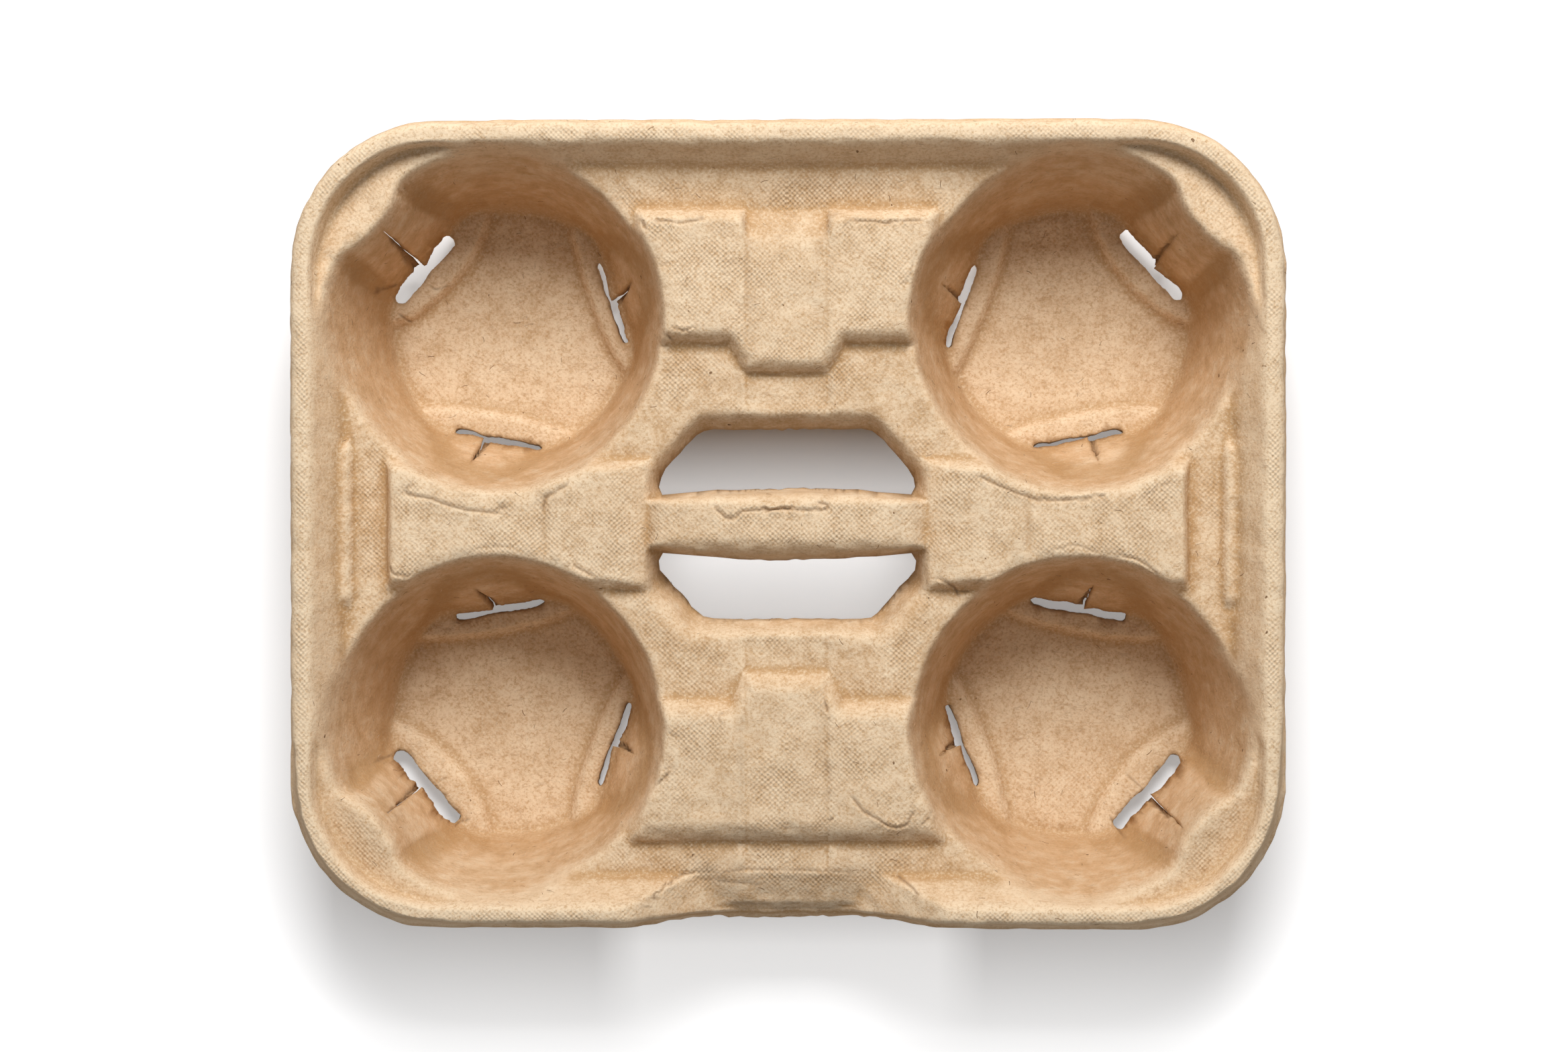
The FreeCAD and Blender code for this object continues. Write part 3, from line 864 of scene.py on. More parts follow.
    def wedge(self, slit: Slit, beside: Array, rise: Array) -> Array:
        """Return which places lie in the torn wedge beside a stem, with soft borders.

        Args:
            slit: The slit's measures.
            beside: Distances beside the stem.
            rise: Shares of the stem's height.

        Returns:
            A value for each place, from 0 to 1.
        """
        side = 1.0 if slit.curl[1] > slit.curl[0] else -1.0
        width = slit.tear * np.clip(1.06 - rise, 0.0, 1.1) ** 0.7
        across = beside * side / np.maximum(width, 0.05)
        band = ease(-0.1, 0.1, across) * ease(1.15, 0.85, across)
        return band * ease(-0.2, -0.1, rise) * ease(1.05, 0.8, rise)

    def near_stems(self, x: Array, y: Array) -> Array:
        """Return which places lie round the stems, where the mesh is finer.

        Args:
            x: First plan coordinates, in millimetres.
            y: Second plan coordinates, in millimetres.

        Returns:
            True for each place near a stem.
        """
        result = np.zeros(x.shape, dtype=bool)
        for slit in self.slits:
            rise, beside = self.place(slit, x, y)
            result |= (rise > -0.3) & (rise < 1.25) & (np.abs(beside) < 4.0)
        return result

    def shade(self, x: Array, y: Array) -> Array:
        """Return the painted shade of the recessed, torn strips beside the stems, from 0 to 1.

        Args:
            x: First plan coordinates, in millimetres.
            y: Second plan coordinates, in millimetres.

        Returns:
            A value for each place, from 0 to 1.
        """
        result = np.zeros_like(x)
        for slit in self.slits:
            rise, beside = self.place(slit, x, y)
            # Painted shade in the recessed strip beside each stem.
            result = np.maximum(result, 0.85 * self.wedge(slit, beside, rise))
        return result

    def bend(self, plan: Array, points: Array) -> Array:
        """Curl the two tabs beside each stem out of the wall, and push its torn wedge back.

        Args:
            plan: Plan places of the skin's points.
            points: The skin's points.

        Returns:
            The points with the tabs curled.
        """
        result = points.copy()
        for slit in self.slits:
            c, n = self.frame_of(slit)
            rise, beside = self.place(slit, plan[:, 0], plan[:, 1])
            along = beside + slit.stem_foot + (slit.stem_head - slit.stem_foot) * rise
            near = (rise > 0.0) & (rise < 1.25) & (along > slit.start - 2.0) & (along < slit.end + 2.0)
            low = 0.5 * ease(-8.5, -1.0, beside) * slit.curl[0]
            high = 0.5 * ease(8.5, 1.0, beside) * slit.curl[1]
            push = np.where(beside < 0.0, low, high) * (1.0 - ease(0.05, 1.15, rise)) * near
            push += 0.9 * self.wedge(slit, beside, rise) * ease(-0.05, 0.3, rise) * near
            result[:, 0] += slit.side_x * c * push
            result[:, 1] += slit.side_y * n * push
        return result


@dataclass
class Skin:
    """The finished mesh of the tray's shell."""

    points: Array
    triangles: Array
    upper: int
    upper_triangles: int
    flat: Array
    shade: Array
    torn: Array
    hollow: Array


@dataclass
class TrayMesher:
    """Builds the tray's shell as one closed mesh."""

    form: TrayForm
    cutter: SlitCutter
    coarse: float = 1.9
    fine: float = 0.68
    ring_step: float = 1.3
    ring_start: float = 24.2
    ring_end: float = 38.9
    ring_margin: float = 0.3
    hole_middle: float = 14.0
    runs: tuple[float, ...] = (9.0, 8.7, 8.3, 7.7, 6.8, 5.6, 4.4, 3.5, 2.8, 2.1, 1.4, 0.7, 0.0)
    inner_insets: tuple[float, ...] = (4.1, 4.7, 5.2, 5.7, 6.3, 7.0)
    collar_levels: tuple[float, ...] = (0.0, 1.2, 2.4, 3.6, 4.8, 6.0, 7.2, 8.6)

    def rim_loops(self) -> list[Array]:
        """Return loops of plan points along the bead, the skirt and the flange, outermost first.

        Returns:
            The loops, each anticlockwise.
        """
        s = self.form.sizes
        insets = [*(s.crown_inset - run for run in self.runs), *self.inner_insets]
        half_x, half_y = s.length / 2 - s.corner_radius, s.width / 2 - s.corner_radius
        loops = []
        for inset in insets:
            r = s.corner_radius - inset
            count_x, count_y = int(2 * half_x / self.ring_step), int(2 * half_y / self.ring_step)
            count_arc = int((s.corner_radius - 2.0) * math.pi / 2 / self.ring_step)
            points = []
            for k, (cx, cy) in enumerate(((1, -1), (1, 1), (-1, 1), (-1, -1))):
                start = -math.pi / 2 + k * math.pi / 2
                for i in range(count_arc):
                    a = start + (math.pi / 2) * i / count_arc
                    points.append((cx * half_x + r * math.cos(a), cy * half_y + r * math.sin(a)))
                side = ((0, 2 * half_y), (-2 * half_x, 0), (0, -2 * half_y), (2 * half_x, 0))[k]
                count = count_y if k in (0, 2) else count_x
                end = start + math.pi / 2
                ex, ey = cx * half_x + r * math.cos(end), cy * half_y + r * math.sin(end)
                for i in range(count):
                    points.append((ex + side[0] * i / count, ey + side[1] * i / count))
            loops.append(np.array(points))
        return loops

    def pocket_rings(self, step: float, count: int) -> Array:
        """Return rings of plan points over the pockets' walls.

        Args:
            step: Distance between rings.
            count: Points in each ring.

        Returns:
            The points of all four pockets.
        """
        s = self.form.sizes
        points = []
        for i, r in enumerate(np.arange(self.ring_start, self.ring_end, step)):
            a = (np.arange(count) + 0.5 * (i % 2)) * 2 * math.pi / count
            ring = np.column_stack((r * np.cos(a), r * np.sin(a)))
            for sx in (1, -1):
                for sy in (1, -1):
                    points.append(ring + (sx * s.pocket_x, sy * s.pocket_y))
        return np.concatenate(points)

    def lattice(self, step: float) -> Array:
        """Return an even triangular lattice of plan points, clear of the pockets' walls.

        Args:
            step: Distance between points.

        Returns:
            The points, one row each.
        """
        s = self.form.sizes
        xs = np.arange(-s.length / 2, s.length / 2, step)
        ys = np.arange(-s.width / 2, s.width / 2, step * math.sqrt(3) / 2)
        gx, gy = np.meshgrid(xs, ys)
        gx = gx + (np.arange(len(ys)) % 2)[:, None] * step / 2
        grid = np.column_stack((gx.ravel(), gy.ravel()))
        r = np.hypot(*self.form.pocket_place(grid[:, 0], grid[:, 1]))
        return grid[(r > self.ring_end + self.ring_margin) | (r < self.ring_start - self.ring_margin)]

    def hole_loops(self) -> list[Array]:
        """Return loops of plan points over the collars of the hand holes, innermost first."""
        return [self.contour(level, side) for side in (1, -1) for level in self.collar_levels]

    def contour(self, rise: float, side: int) -> Array:
        """Trace a level line of a hand hole's collar, by a search along rays from its middle.

        Args:
            rise: Height of the line over the collar's foot.
            side: 1 for the back hole and -1 for the front one.

        Returns:
            The line's points, one row each.
        """
        foot = self.form.sizes.hole_foot
        angles = np.linspace(0.0, 2 * math.pi, 170, endpoint=False)
        angles = angles + 0.42 * np.sin(2 * angles)
        low, high = np.zeros_like(angles), np.full_like(angles, 40.0)
        for _ in range(30):
            mid = (low + high) / 2
            x, y = mid * np.cos(angles), self.hole_middle + mid * np.sin(angles)
            inside = self.form.hole_height(x, np.maximum(y, 0.01)) < foot + rise
            inside &= y > 0.3
            low, high = np.where(inside, mid, low), np.where(inside, high, mid)
        if rise == 0.0:
            low = low + 0.13 * ripple(low * np.cos(angles), low * np.sin(angles), 2.6, 30 + side)
        x, y = low * np.cos(angles), self.hole_middle + low * np.sin(angles)
        points = np.column_stack((x, side * y))
        return points if side > 0 else points[::-1]

    def plan(self) -> tuple[Array, list[tuple[int, int]], list[Array]]:
        """Gather the plan points and the closed edges that the mesh must follow.

        Returns:
            The points, the pairs of points that are joined, and the outlines that are cut out.
        """
        rim = self.rim_loops()
        holes = self.hole_loops()
        cut = [holes[0], holes[len(holes) // 2]] + self.cutter.outlines()
        bounds = [rim[0]] + cut
        joined: list[tuple[int, int]] = []
        start = 0
        for loop in bounds:
            n = len(loop)
            joined += [(start + i, start + (i + 1) % n) for i in range(n)]
            start += n
        others = [loop for loop in holes if not any(loop is c for c in cut)]
        points = np.concatenate(bounds + rim[1:] + others + [self.fill_points(cut)])
        return points, joined, cut

    def busy(self, x: Array, y: Array) -> Array:
        """Return which places need a finer mesh: rounded edges, feet, steps and torn strips."""
        return (np.abs(self.form.bend(x, y)) > 0.11) | self.cutter.near_stems(x, y)

    def fill_points(self, cut: Sequence[Array]) -> Array:
        """Return the plan points between the loops, kept clear of every cut outline.

        Args:
            cut: The outlines that are cut out.

        Returns:
            The points, one row each.
        """
        form, s = self.form, self.form.sizes
        fine = np.concatenate((self.pocket_rings(0.5, 190), self.lattice(self.fine)))
        coarse = np.concatenate((self.pocket_rings(1.5, 118), self.lattice(self.coarse)))
        fine = fine[self.busy(fine[:, 0], fine[:, 1])]
        coarse = coarse[~self.busy(coarse[:, 0], coarse[:, 1])]
        fill = np.concatenate((fine, coarse, form.marks.points()))
        x, y = fill[:, 0], fill[:, 1]
        keep = form.inset(x, y) > 7.5
        near = (np.abs(x) < 38.0) & (np.abs(y) < 28.0)
        keep &= ~near | (form.hole_height(x, y) > s.hole_foot + 9.4) | (np.abs(y) < 4.2)
        for loop in cut:
            close = within(x, y, loop, 1.0)
            if close.any():
                depth = outline_depth(x[close], y[close], [tuple(p) for p in loop])
                keep[np.flatnonzero(close)[depth > -0.3]] = False
        return fill[keep]

    def triangles(self) -> tuple[Array, Array, list[Array]]:
        """Triangulate the plan.

        Returns:
            The plan points, the triangles, anticlockwise, and the outlines that are cut out.
        """
        points, joined, cut = self.plan()
        result = delaunay_2d_cdt([Vector(p) for p in points.tolist()], joined, [], 0, 1e-5, False)
        plan = np.array([tuple(v) for v in result[0]])
        faces = np.array([f for f in result[2] if len(f) == 3])
        a, b, c = plan[faces[:, 0]], plan[faces[:, 1]], plan[faces[:, 2]]
        middle = (a + b + c) / 3.0
        x, y = middle[:, 0], middle[:, 1]
        keep = self.form.inset(x, y) > self.form.sizes.crown_inset - self.form.skirt_run - 0.02
        for loop in cut:
            close = within(x, y, loop, 0.0)
            if close.any():
                depth = outline_depth(x[close], y[close], [tuple(p) for p in loop])
                keep[np.flatnonzero(close)[depth > 0.0]] = False
        faces, a, b, c = faces[keep], a[keep], b[keep], c[keep]
        area = (b[:, 0] - a[:, 0]) * (c[:, 1] - a[:, 1]) - (b[:, 1] - a[:, 1]) * (c[:, 0] - a[:, 0])
        faces[area < 0] = faces[area < 0][:, ::-1]
        return plan, faces[np.abs(area) > 1e-7], cut

    def normals(self, points: Array, faces: Array, rounds: int) -> Array:
        """Return each point's normal, evened out over its neighbours.

        Args:
            points: The skin's points.
            faces: Its triangles.
            rounds: How many times each normal is averaged with its neighbours'.

        Returns:
            Unit normals, one row each.
        """
        a, b, c = (points[faces[:, i]] for i in range(3))
        flat = np.cross(b - a, c - a)
        normal = np.zeros_like(points)
        for i in range(3):
            np.add.at(normal, faces[:, i], flat)
        normal /= np.maximum(np.linalg.norm(normal, axis=1, keepdims=True), 1e-12)
        for _ in range(rounds):
            total = normal.copy()
            for i in range(3):
                np.add.at(total, faces[:, i], normal[faces[:, (i + 1) % 3]])
                np.add.at(total, faces[:, i], normal[faces[:, (i + 2) % 3]])
            normal = total / np.maximum(np.linalg.norm(total, axis=1, keepdims=True), 1e-12)
        return normal

    def tears(self, plan: Array, cut: Sequence[Array]) -> Array:
        """Return how torn the skin is at each place, from 0 to 1: most along cut edges.

        Args:
            plan: Plan places of the skin's points.
            cut: The outlines that are cut out.

        Returns:
            A value for each place, from 0 to 1.
        """
        torn = np.zeros(len(plan))
        for i, loop in enumerate(cut):
            reach = 0.35 if i < 2 else 0.8
            close = within(plan[:, 0], plan[:, 1], loop, 2.0 * reach)
            path = [tuple(p) for p in loop] + [tuple(loop[0])]
            away = path_distance(plan[close, 0], plan[close, 1], path)
            torn[close] = np.maximum(torn[close], 1.0 - ease(0.0, reach, away))
        edge = self.form.inset(plan[:, 0], plan[:, 1]) - self.form.sizes.crown_inset + self.form.skirt_run
        return np.maximum(torn, 1.0 - ease(0.0, 0.5, edge))

    def skin(self) -> Skin:
        """Build the closed shell: upper skin, underside and the torn edges between them.

        Returns:
            The shell, with what its finish reads.
        """
        plan, faces, cut = self.triangles()
        used = np.unique(faces)
        plan, faces = plan[used], np.searchsorted(used, faces)
        s, form = self.form.sizes, self.form
        x, y = plan[:, 0], plan[:, 1]
        top = self.cutter.bend(plan, form.lift(x, y))
        bump = np.zeros(len(top))
        for share, tilt, wavelength, seed in form.waves:
            wave = ripple(top[:, 0], top[:, 1] + tilt * top[:, 2], wavelength, form.seed + seed)
            bump += share * form.waviness * wave
        top = top + self.normals(top, faces, 5) * bump[:, None]
        reach = np.array((s.length / 2, s.width / 2, s.height))
        top = np.clip(top, (-reach[0], -reach[1], s.wall), reach)
        normal = self.normals(top, faces, 6)
        under = np.clip(top - normal * s.wall, (-reach[0], -reach[1], 0.0), reach)
        count = len(top)
        edges = np.concatenate([faces[:, [i, (i + 1) % 3]] for i in range(3)])
        key = np.sort(edges, axis=1)
        _, first, copies = np.unique(key, axis=0, return_index=True, return_counts=True)
        border = edges[first[copies == 1]]
        walls = np.concatenate((
            np.column_stack((border[:, 1], border[:, 0], border[:, 0] + count)),
            np.column_stack((border[:, 1], border[:, 0] + count, border[:, 1] + count)),
        ))
        torn = self.tears(plan, cut)
        # Painted shade: along cracks and creases, and in the recessed strips beside the slit stems.
        shade = np.maximum(form.marks.change(x, y)[1], self.cutter.shade(x, y))
        return Skin(
            points=np.concatenate((top, under)),
            triangles=np.concatenate((faces, faces[:, ::-1] + count, walls)),
            upper=count,
            upper_triangles=len(faces),
            flat=np.concatenate((np.clip(normal[:, 2], 0.0, 1.0), np.full(count, 0.3))),
            shade=np.concatenate((shade, np.zeros(count))),
            torn=np.concatenate((torn, torn)),
            hollow=np.concatenate((form.hollow(x, y), np.zeros(count))),
        )


class Graph:
    """Adds nodes to one tree: a material's, the world's or a geometry tree."""

    def __init__(self, tree: bpy.types.NodeTree) -> None:
        """Take the tree that gets the nodes."""
        self.tree = tree

    def feed(self, node: bpy.types.Node, inputs: dict[int | str, object]) -> None:
        """Link a socket, or set a value, for each of the named inputs of a node.

        Args:
            node: The node.
            inputs: A socket or a value for each input.
        """
        for key, value in inputs.items():
            if isinstance(value, bpy.types.NodeSocket):
                self.tree.links.new(value, node.inputs[key])
            else:
                node.inputs[key].default_value = value

    def add(self, kind: str, inputs: dict[int | str, object] | None = None,
            **settings: object) -> bpy.types.Node:
        """Add one node.

        Args:
            kind: The node's type.
            inputs: A socket or a value for each input that isn't left as it is.
            settings: The node's own properties, such as its operation.

        Returns:
            The node.
        """
        node = self.tree.nodes.new(kind)
        for name, value in settings.items():
            setattr(node, name, value)
        self.feed(node, inputs or {})
        return node

    def math(self, operation: str, *values: Socket | float) -> Socket:
        """Add a sum on sockets or numbers and return its result."""
        return self.add("ShaderNodeMath", dict(enumerate(values)), operation=operation).outputs[0]

    def vector(self, operation: str, *values: Socket | Sequence[float]) -> bpy.types.Node:
        """Add a sum on vectors and return its node."""
        return self.add("ShaderNodeVectorMath", dict(enumerate(values)), operation=operation)

    def ramp(self, value: Socket, low: float, high: float, top: float = 1.0) -> Socket:
        """Map the range from low to high onto 0 to top, clamped."""
        limits = {"Value": value, "From Min": low, "From Max": high, "To Max": top}
        return self.add("ShaderNodeMapRange", limits).outputs[0]

    def camera_share(self, extra: float, base: float) -> Socket:
        """Return a strength that is base for all rays, and extra more for the camera's own."""
        ray = self.add("ShaderNodeLightPath").outputs["Is Camera Ray"]
        return self.math("MULTIPLY_ADD", ray, extra, base)


class Shader(Graph):
    """One material with one surface, patterned on the object's own coordinates."""

    def __init__(self, name: str, roughness: float, gloss: float = 0.15) -> None:
        """Start a material.

        Args:
            name: The material's name.
            roughness: Roughness of its surface.
            gloss: Strength of the surface's reflections.
        """
        self.material = bpy.data.materials.new(name)
        self.material.use_nodes = True
        super().__init__(self.material.node_tree)
        self.tree.nodes.clear()
        values = {"Roughness": roughness, "Specular IOR Level": gloss}
        self.surface = self.add("ShaderNodeBsdfPrincipled", values)
        self.add("ShaderNodeOutputMaterial", {0: self.surface.outputs[0]})
        self.place = self.add("ShaderNodeTexCoord").outputs["Object"]
        self.axes = self.add("ShaderNodeSeparateXYZ", {0: self.place}).outputs

    def attribute(self, name: str) -> Socket:
        """Read a number that the mesh carries."""
        return self.add("ShaderNodeAttribute", attribute_name=name).outputs["Fac"]

    def noise(self, scale: float | Sequence[float], detail: float, rough: float,
              turn: Sequence[float] = (0.0, 0.0, 0.0)) -> Socket:
        """Add a noise.

        Args:
            scale: Cells to a metre, along all axes or along each.
            detail: Octaves of finer noise.
            rough: Weight of the finer octaves.
            turn: Rotation of the pattern, in radians.

        Returns:
            The noise's value, from 0 to 1.
        """
        size = scale if isinstance(scale, tuple) else (scale,) * 3
        spot = self.add("ShaderNodeMapping", {"Scale": size, "Rotation": turn, "Vector": self.place})
        values = {"Scale": 1.0, "Detail": detail, "Roughness": rough, "Vector": spot.outputs[0]}
        return self.add("ShaderNodeTexNoise", values).outputs["Fac"]

    def mix(self, factor: Socket, under: Socket | Colour, over: Socket | Colour) -> Socket:
        """Lay one colour over another by a factor.

        Args:
            factor: How much the upper colour covers.
            under: The lower colour.
            over: The upper colour.

        Returns:
            The mixed colour.
        """
        values = {0: factor}
        for key, tone in ((6, under), (7, over)):
            values[key] = tone if isinstance(tone, bpy.types.NodeSocket) else (*tone, 1.0)
        return self.add("ShaderNodeMix", values, data_type="RGBA").outputs[2]

    def bump(self, height: Socket, distance: float, strength: float, below: Socket | None) -> Socket:
        """Add a bump, over another one if there is one, and return the normal.

        Args:
            height: Height of the relief, from 0 to 1.
            distance: Its depth, in metres.
            strength: Its strength.
            below: Normal that it is laid on.

        Returns:
            The normal.
        """
        values = {"Height": height, "Distance": distance, "Strength": strength}
        if below is not None:
            values["Normal"] = below
        return self.add("ShaderNodeBump", values).outputs[0]


@dataclass(frozen=True)
class PulpFinish:
    """Matt brown moulded pulp with fibres, specks and the imprint of its forming screen, with shade and
    highlights painted into its colour.
    """

    name: str = "moulded_pulp_kraft"
    level_tan_painted_light: Colour = (0.725, 0.52, 0.33)
    steep_tan_painted_shade: Colour = (0.70, 0.46, 0.265)
    pale: Colour = (0.86, 0.69, 0.485)
    brown: Colour = (0.47, 0.27, 0.115)
    deep: Colour = (0.19, 0.10, 0.045)
    fibre: Colour = (0.40, 0.24, 0.125)
    roughness: float = 0.93
    screen_pitch: float = 0.00079
    screen_sway: float = 0.0028
    speck_cells: float = 250.0
    speck_fuzz: float = 0.0011

    def clouds(self, sheet: Shader, flat: Socket) -> Socket:
        """Return the pulp's broad colour: a tan that is paler on level faces and darker and more
        saturated on steep walls, as painted light and shade, with paler and browner clouds and mottling.

        Args:
            sheet: The material's tree.
            flat: How level the skin is, from 0 to 1.

        Returns:
            The colour.
        """
        # Painted light and shade by slope: level faces paler, steep walls darker and more saturated.
        color = sheet.mix(sheet.ramp(flat, 0.45, 0.93), self.steep_tan_painted_shade, self.level_tan_painted_light)
        color = sheet.mix(sheet.ramp(sheet.noise((45, 45, 60), 4, 0.6), 0.5, 0.76, 0.5), color, self.pale)
        patches = sheet.noise((75, 75, 90), 5, 0.68)
        color = sheet.mix(sheet.ramp(patches, 0.5, 0.74, 0.42), color, self.brown)
        mottle = sheet.noise(240, 4, 0.62)
        color = sheet.mix(sheet.ramp(mottle, 0.5, 0.72, 0.55), color, self.brown)
        return sheet.mix(sheet.ramp(mottle, 0.5, 0.3, 0.55), color, self.pale)

    def relief_tones(self, sheet: Shader, flat: Socket, color: Socket) -> Socket:
        """Paint shade into hollows and into the band on the skirt below the bead, paint highlights on
        edges and, by height, on the bead and the block tops, make pocket floors paler, and darken steep
        walls with streaks.

        Args:
            sheet: The material's helper.
            flat: How level the skin is.
            color: The colour so far.

        Returns:
            The colour with these tones.
        """
        hollow = sheet.attribute("hollow")
        # Painted shade in hollows and in the band below the bead, and a painted highlight on convex
        # edges.
        color = sheet.mix(sheet.ramp(hollow, 0.05, 1.0, 0.75), color, self.brown)
        color = sheet.mix(sheet.ramp(hollow, -0.05, -1.0, 0.22), color, self.pale)
        # Paler by height: painted highlights on the bead and on the block tops; the pocket floors are
        # made paler too.
        for low, high, share in ((0.0425, 0.0448, 0.5), (0.0365, 0.039, 0.3), (0.008, 0.004, 0.2)):
            color = sheet.mix(sheet.ramp(sheet.axes["Z"], low, high, share), color, self.pale)
        streak = sheet.ramp(sheet.noise((190, 190, 1500), 3, 0.6), 0.48, 0.72, 0.25)
        return sheet.mix(sheet.math("MULTIPLY", sheet.ramp(flat, 0.85, 0.3), streak), color, self.brown)

    def hairs(self, sheet: Shader) -> Socket:
        """Return where thin fibres show in the skin, lying in four directions.

        Args:
            sheet: The material's tree.

        Returns:
            A value for each place, from 0 to 1.
        """
        hair = None
        for i, turn in enumerate((0.3, 1.1, 1.9, 2.7)):
            line = sheet.noise((130, 420, 300), 2, 0.5, (0.2 * i, 0.1, turn))
            thin = sheet.ramp(sheet.math("ABSOLUTE", sheet.math("SUBTRACT", line, 0.5)), 0.016, 0.004)
            spot = sheet.ramp(sheet.noise(230, 1, 0.5, (0.4, turn, 0.0)), 0.55, 0.62)
            one = sheet.math("MULTIPLY", thin, spot)
            hair = one if hair is None else sheet.math("MAXIMUM", hair, one)
        return hair

    def specks(self, sheet: Shader) -> Socket:
        """Return where dark specks lie: in some cells of a warped pattern, of two sizes.

        Args:
            sheet: The material's tree.

        Returns:
            A value for each place, from 0 to 1.
        """
        fuzz = sheet.add("ShaderNodeTexNoise", {"Scale": 900.0, "Vector": sheet.place})
        small = sheet.add("ShaderNodeVectorMath", {"Scale": self.speck_fuzz, 0: fuzz.outputs["Color"]},
                          operation="SCALE")
        warp = sheet.vector("ADD", sheet.place, small.outputs[0])
        cells = sheet.add("ShaderNodeTexVoronoi", {"Scale": self.speck_cells, "Vector": warp.outputs[0]})
        gate = sheet.add("ShaderNodeSeparateColor", {0: cells.outputs["Color"]}).outputs[0]
        size = sheet.math("ADD", sheet.ramp(gate, 0.70, 0.80, 0.052), sheet.ramp(gate, 0.92, 1.0, 0.05))
        return sheet.ramp(sheet.math("SUBTRACT", size, cells.outputs["Distance"]), 0.0, 0.012)

    def screen(self, sheet: Shader) -> Socket:
        """Return the diagonal imprint of the forming screen, mirrored about the middle.

        Args:
            sheet: The material's tree.

        Returns:
            The imprint, from -2 in its dents to 2.
        """
        sway = sheet.math("MULTIPLY", sheet.noise(70, 2, 0.5), self.screen_sway)
        across = sheet.math("ADD", sheet.math("ABSOLUTE", sheet.axes["X"]), sway)
        turns = 2.0 * math.pi / (self.screen_pitch * math.sqrt(2.0))
        waves = []
        for operation in ("ADD", "SUBTRACT"):
            place = sheet.math(operation, across, sheet.axes["Y"])
            waves.append(sheet.math("SINE", sheet.math("MULTIPLY", place, turns)))
        return sheet.math("ADD", *waves)

    def screen_share(self, sheet: Shader, flat: Socket) -> Socket:
        """Return how clear the screen's imprint is: most on level, high places, in patches.

        Args:
            sheet: The material's tree.
            flat: How level the skin is, from 0 to 1.

        Returns:
            A value for each place, from 0 to 1.
        """
        patch = sheet.ramp(sheet.noise(60, 4, 0.7), 0.38, 0.62)
        high = sheet.math("MAXIMUM", sheet.ramp(sheet.axes["Z"], 0.030, 0.034), 0.4)
        return sheet.math("MULTIPLY", sheet.math("MULTIPLY", sheet.ramp(flat, 0.8, 0.97), high), patch)

    def material(self) -> bpy.types.Material:
        """Build the finish's material.

        Returns:
            The material.
        """
        sheet = Shader(self.name, self.roughness)
        flat = sheet.attribute("flat")
        color = self.relief_tones(sheet, flat, self.clouds(sheet, flat))
        grain = sheet.noise(1500, 3, 0.7)
        calm = sheet.ramp(flat, 0.15, 0.8)
        screen, plain = self.screen(sheet), self.screen_share(sheet, flat)
        layers = (
            (calm, sheet.ramp(grain, 0.5, 0.72, 0.65), self.pale),
            (calm, sheet.ramp(grain, 0.5, 0.28, 0.75), self.brown),
            (self.hairs(sheet), 0.3, self.fibre),
            (self.specks(sheet), 0.9, self.deep),
            (sheet.ramp(screen, 0.1, -1.5, 0.27), plain, self.brown),
            (sheet.attribute("torn"), sheet.ramp(grain, 0.2, 0.6, 0.6), self.brown),
            # Painted shade along cracks and creases and in the recessed strips beside the stems.
            (sheet.attribute("shade"), sheet.ramp(grain, 0.1, 0.55, 0.85), self.deep),
        )
        for place, share, tone in layers:
            color = sheet.mix(sheet.math("MULTIPLY", place, share), color, tone)
        normal = sheet.bump(sheet.noise(420, 3, 0.6), 0.0006, 0.35, None)
        normal = sheet.bump(grain, 0.00022, 0.6, normal)
        normal = sheet.bump(sheet.math("MULTIPLY", screen, plain), 0.00006, 0.8, normal)
        sheet.feed(sheet.surface, {"Base Color": color, "Normal": normal})
        return sheet.material


